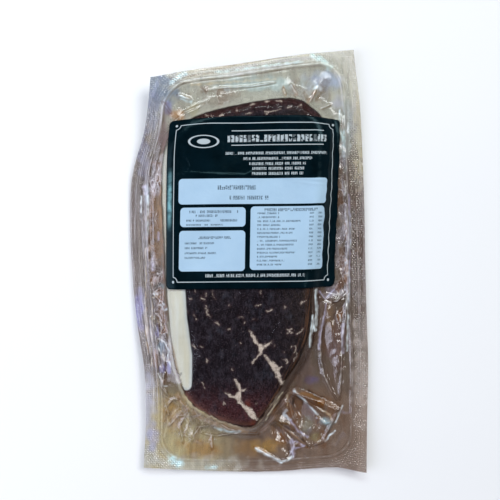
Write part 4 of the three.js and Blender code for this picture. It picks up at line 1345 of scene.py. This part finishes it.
def steak_fields(x, y, marbled):
    """Where the steak is fat, marbled, browned, red and olive, and how far outside it the points are."""
    d = from_outline(x, y)
    browned = np.clip(sum(np.exp(-(from_spot(x, y, spot) ** 2)) for spot in BROWNED), 0, 1)
    red = 0.05 + 0.55 * smooth(-66, -92, y)
    olive = smooth(8, 34, x) * smooth(-84, -60, y) * 0.8
    end = np.maximum(smooth(70, 84, y), smooth(-70, -80, y) * smooth(4, -18, x) * smooth(-12, -4, d))
    return {"marks": (fat_strip(x, y), marbled, beyond_fat(x, y)), "tones": (red, olive, d),
            "ends": (end, browned, np.zeros(d.shape))}


def make_steak():
    """The steak, closed, with its rounded shoulder and flatter underside."""
    u, v = grid(STEAK_CELLS, (-1, -1), (1, 1))
    disc_x, disc_y = u * np.sqrt(1 - v * v / 2), v * np.sqrt(1 - u * u / 2)
    angle, share = np.arctan2(disc_y, disc_x), np.minimum(np.hypot(disc_x, disc_y), 1)
    rim_angle = angle.ravel()[grid_border(STEAK_CELLS)]
    top_x, top_y = (a.ravel() for a in in_outline(angle, share, GRID_INSET))
    inset = -from_outline(top_x, top_y)
    parts = [(top_x, top_y, steak_height(top_x, top_y, inset))]
    start = math.asin(1 - GRID_INSET / SHOULDER)
    for turn in np.linspace(start, math.pi / 2, UPPER_RINGS + 1)[1:]:
        ring_inset = SHOULDER * (1 - math.sin(turn))
        x, y = in_outline(rim_angle, 1, ring_inset)
        parts.append((x, y, steak_height(x, y, ring_inset)))
    end = math.asin(1 - BASE_GRID_INSET / BASE_INSET)
    for turn in np.linspace(math.pi / 2, end, LOWER_RINGS + 1)[1:-1]:
        ring_inset = BASE_INSET * (1 - math.sin(turn))
        x, y = in_outline(rim_angle, 1, ring_inset)
        parts.append((x, y, np.full(x.shape, steak_base(ring_inset))))
    base_x, base_y = (a.ravel() for a in in_outline(angle, share, BASE_GRID_INSET))
    parts.append((base_x, base_y, steak_base(-from_outline(base_x, base_y))))
    x, y, z = (np.concatenate(column) for column in zip(*parts))
    around = np.arange(len(rim_angle))
    first_base = len(x) - len(base_x)
    loops = [grid_border(STEAK_CELLS)]
    loops += [first + around for first in range(len(top_x), first_base, len(around))]
    loops += [grid_border(STEAK_CELLS, first_base)]
    faces = [grid_quads(STEAK_CELLS), grid_quads(STEAK_CELLS, first_base, down=True)]
    faces += [band(a, b) for a, b in zip(loops, loops[1:])]
    marbled = marbling(x, y)
    lumps = 0.16 * noise(x, y, 4, 30) + 0.25 * noise(x, y, 9, 31) - 0.12 * smooth(0.6, -0.3, marbled)
    z = z + lumps * smooth(2, WAIST + 4, z)
    fields = steak_fields(x, y, marbled)
    steak = make_piece("steak", x, y, z, np.concatenate(faces), steak_material(), fields)
    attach(steak, "root")
    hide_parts("vacuum_pack")


class Print:
    """The label's print: fields of colour, rules and rows of small blocks, with no lettering."""

    def __init__(self, shader, u, v):
        self.s, self.u, self.v = shader, u, v

    def box(self, left, right, bottom, top, radius=0.0):
        """1 inside a rounded rectangle."""
        u = abs(self.u - (left + right) / 2) - ((right - left) / 2 - radius)
        v = abs(self.v - (bottom + top) / 2) - ((top - bottom) / 2 - radius)
        if not radius:
            return u.maximum(v).below(0)
        return length(u.maximum(0), v.maximum(0)).below(radius)

    def row(self, left, right, middle, half):
        return self.box(left, right, middle - half, middle + half)

    def rows(self, table):
        """Each row of a table of rows of small blocks."""
        for pitch, line, rows in table:
            blocks = self.blocks(pitch, line)
            yield from (self.row(*row) * blocks for row in rows)

    def frame_line(self):
        """A fine frame whose corners are notched round a dot."""
        u, v = abs(self.u), abs(self.v)
        half_u, half_v = FRAME_HALF
        upright = u.near(half_u, FRAME_LINE / 2) * v.below(half_v - FRAME_NOTCH)
        level = v.near(half_v, FRAME_LINE / 2) * u.below(half_u - FRAME_NOTCH)
        away = length(u - half_u, v - half_v)
        arc = away.near(FRAME_NOTCH, FRAME_LINE / 2) * u.below(half_u) * v.below(half_v)
        return most(upright, level, arc, away.below(FRAME_DOT))

    def blocks(self, pitch, line):
        """Small uneven blocks and gaps, like words too small to read."""
        across = self.u / pitch
        cell = self.s.point(across.floor(), (self.v / line).floor())
        chance = self.s.random(cell)
        stroke = across.fraction().below(0.72, 0.25)
        holes = self.s.noise(self.s.point(self.u, self.v), 1.5 / pitch, 1).ramp(0.36, 0.46)
        return stroke * chance.ramp(0.1, 0.2) * holes


def label_print(s, u, v):
    """How white and how dark the label's print is, and where its pale panels are."""
    p = Print(s, u, v)
    panels = most(*(p.box(*panel, PANEL_RADIUS) for panel in LABEL_PANELS))
    oval_x, oval_y, half_width, half_height = LABEL_OVAL
    oval = length((u - oval_x) / half_width, (v - oval_y) / half_height)
    rules = (p.row(*rule) for rule in LABEL_RULES)
    rings = oval.near(0.92, 0.07, 0.03), oval.below(0.42, 0.03)
    white = most(p.frame_line(), *rules, *p.rows(WHITE_ROWS), *rings)
    line = (v * -1 + LIST_TOP) / LIST_LINE
    end = s.random(s.point(line.floor(), 3.0)).ramp(0, 1, *LIST_LENGTHS)
    listed = (u - LIST_LEFT).ramp(0, 0.1) * (u - LIST_LEFT - end).below(0)
    listed = most(listed, *(u.near(*column) for column in LIST_COLUMNS))
    in_row = line.fraction().near(0.5, 0.24) * v.near(LIST_MIDDLE, LIST_HALF)
    dark = most(*p.rows(DARK_ROWS), listed * in_row * p.blocks(*TINY_BLOCKS))
    return white, dark, panels


def label_material():
    s = Shader(bpy.data.materials.new("label_paper"))
    u, v, _ = s.attribute("flat")
    place = s.point(u, v)
    white, dark, panels = label_print(s, u, v)
    mottle = s.noise(place, 0.08, 3, 0.6)
    ink = s.blend(mottle.ramp(0.35, 0.65), linear(1, 10, 15), linear(3, 18, 25))
    paper = s.blend(mottle.ramp(0.3, 0.7), linear(156, 183, 204), linear(162, 188, 208))
    sheen = u.near(-50.4, 1.3, 1.6) * v.near(2, 13, 12) * s.noise(place, 0.22, 3, 0.6).ramp(0.35, 0.6, 0.3, 1)
    colour = s.layers(ink, (panels, paper), (sheen * 0.65, linear(144, 200, 208)),
                      (white * 0.85, linear(180, 190, 194)), (dark * panels * 0.8, linear(34, 44, 54)))
    fibre = s.noise(place, 1.6, 3, 0.6)
    height = fibre * 0.03 + s.noise(place, 0.16, 2) * 0.25
    roughness = s.noise(place, 0.35, 2).ramp(0.3, 0.7, 0.16, 0.24) + panels * 0.2
    surface = s.surface(base_color=colour, roughness=roughness, specular_ior_level=0.1, normal=s.bump(height),
                        specular_tint=(0.5, 0.9, 1.0, 1.0))
    return s.finish(surface)


def in_rounded_corners(x, y):
    """A point of the label's rectangular grid, brought inside its rounded corners."""
    dx = np.maximum(np.abs(x) - LABEL_WIDTH / 2 + LABEL_RADIUS, 0)
    dy = np.maximum(np.abs(y) - LABEL_LENGTH / 2 + LABEL_RADIUS, 0)
    away = np.hypot(dx, dy)
    share = np.maximum(dx, dy) / np.where(away > 0, away, 1)
    return x - np.sign(x) * dx * (1 - share), y - np.sign(y) * dy * (1 - share)


def laid(u, v):
    """Where the label has a point of its flat sheet, once it is drawn down over the steak."""
    leant = u + v * LABEL_LEAN
    x = LABEL_X + leant * math.cos(LABEL_TURN) - v * math.sin(LABEL_TURN)
    y = LABEL_Y + leant * math.sin(LABEL_TURN) + v * math.cos(LABEL_TURN)
    d = from_outline(x, y)
    pull = LABEL_PULL * np.maximum(d + SHOULDER, 0)
    return x - pull * (from_outline(x + 1, y) - d), y - pull * (from_outline(x, y + 1) - d)


def make_label():
    """The label, a thin closed sheet laid on the upper film."""
    u, v = in_rounded_corners(*grid(LABEL_CELLS, (-LABEL_WIDTH / 2, -LABEL_LENGTH / 2),
                                    (LABEL_WIDTH / 2, LABEL_LENGTH / 2)))
    x, y = laid(u, v)
    x = x + 0.5 * smooth(34, 44, u) * noise(u, v, 5.5, 43)
    d = from_outline(x, y)
    bridged = steak_top(x, y) + LABEL_BRIDGES * FAT_GROOVE_DEPTH * in_groove(x, y)
    z = mix(bridged, flange_top(x, y) + fold_height(x, y, d), fallen(d)) + LABEL_RAISED
    z = z + crease_height(u, v, LABEL_CREASES) + 0.1 * noise(u, v, 9, 40)
    count = u.size
    faces = [grid_quads(LABEL_CELLS), grid_quads(LABEL_CELLS, count, down=True),
             band(grid_border(LABEL_CELLS), grid_border(LABEL_CELLS, count))]
    fields = {"flat": [np.concatenate([a.ravel()] * 2) for a in (u, v, d)]}
    heights = np.concatenate([z.ravel() + LABEL_PAPER, z.ravel()])
    x, y = (np.concatenate([a.ravel()] * 2) for a in (x, y))
    label = make_piece("label_sheet", x, y, heights, np.concatenate(faces), label_material(), fields)
    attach(label, "root")
    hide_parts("label")


def make_floor():
    s = Shader(bpy.data.materials.new("pale_floor"))
    shade = s.noise(s.place(), 0.004, 2).ramp(0.3, 0.7, 0.78, 0.8)
    colour = s.point(shade, shade, shade)
    material = s.finish(s.surface(base_color=colour, roughness=0.8, specular_ior_level=0.2))
    x, y = grid((2, 2), (-FLOOR_HALF, -FLOOR_HALF), (FLOOR_HALF, FLOOR_HALF))
    floor = make_piece("floor", x, y, np.zeros(x.shape), grid_quads((2, 2)), material)


def make_light(name, kind, place, power, colour):
    """A light that faces the middle of the pack."""
    lamp = bpy.data.lights.new(name, kind)
    lamp.energy = power
    lamp.color = colour
    light = bpy.data.objects.new(name, lamp)
    bpy.context.scene.collection.objects.link(light)
    light.location = place
    towards = -light.location
    light.rotation_euler = towards.to_track_quat("-Z", "Y").to_euler()
    return lamp


def make_lights():
    """The key light, a soft sun at the right, and two soft boxes."""
    key = make_light("key", "SUN", KEY_PLACE, KEY_POWER, KEY_COLOUR)
    key.angle = KEY_ANGLE
    for name, place, size, power, colour in SOFT_BOXES:
        lamp = make_light(name, "AREA", place, power, colour)
        lamp.shape = "RECTANGLE"
        lamp.size, lamp.size_y = size


def make_world():
    """A soft studio: pale round the horizon and dimmer overhead."""
    s = Shader(bpy.data.worlds.new("studio"))
    height = s.parts(s.node("ShaderNodeTexCoord").outputs["Generated"])[2]
    ramp = s.node("ShaderNodeValToRGB", (height,))
    for element, (at, shade) in zip(ramp.color_ramp.elements, STUDIO_SHADES):
        element.position = at
        element.color = shade
    bpy.context.scene.world = s.finish(s.node("ShaderNodeBackground", {"Color": ramp.outputs[0]}))


def make_camera():
    camera = bpy.data.cameras.new("camera")
    camera.sensor_fit = "HORIZONTAL"
    camera.angle = 2 * math.atan(FLOOR_SEEN / 2 / CAMERA_HEIGHT)
    view = bpy.data.objects.new("camera", camera)
    bpy.context.scene.collection.objects.link(view)
    view.location = (CAMERA_X * MM, CAMERA_Y * MM, CAMERA_HEIGHT * MM)
    bpy.context.scene.camera = view


make_camera()
make_world()
make_lights()
make_floor()
make_films()
make_steak()
make_label()
bpy.context.scene.view_settings.view_transform = "Standard"
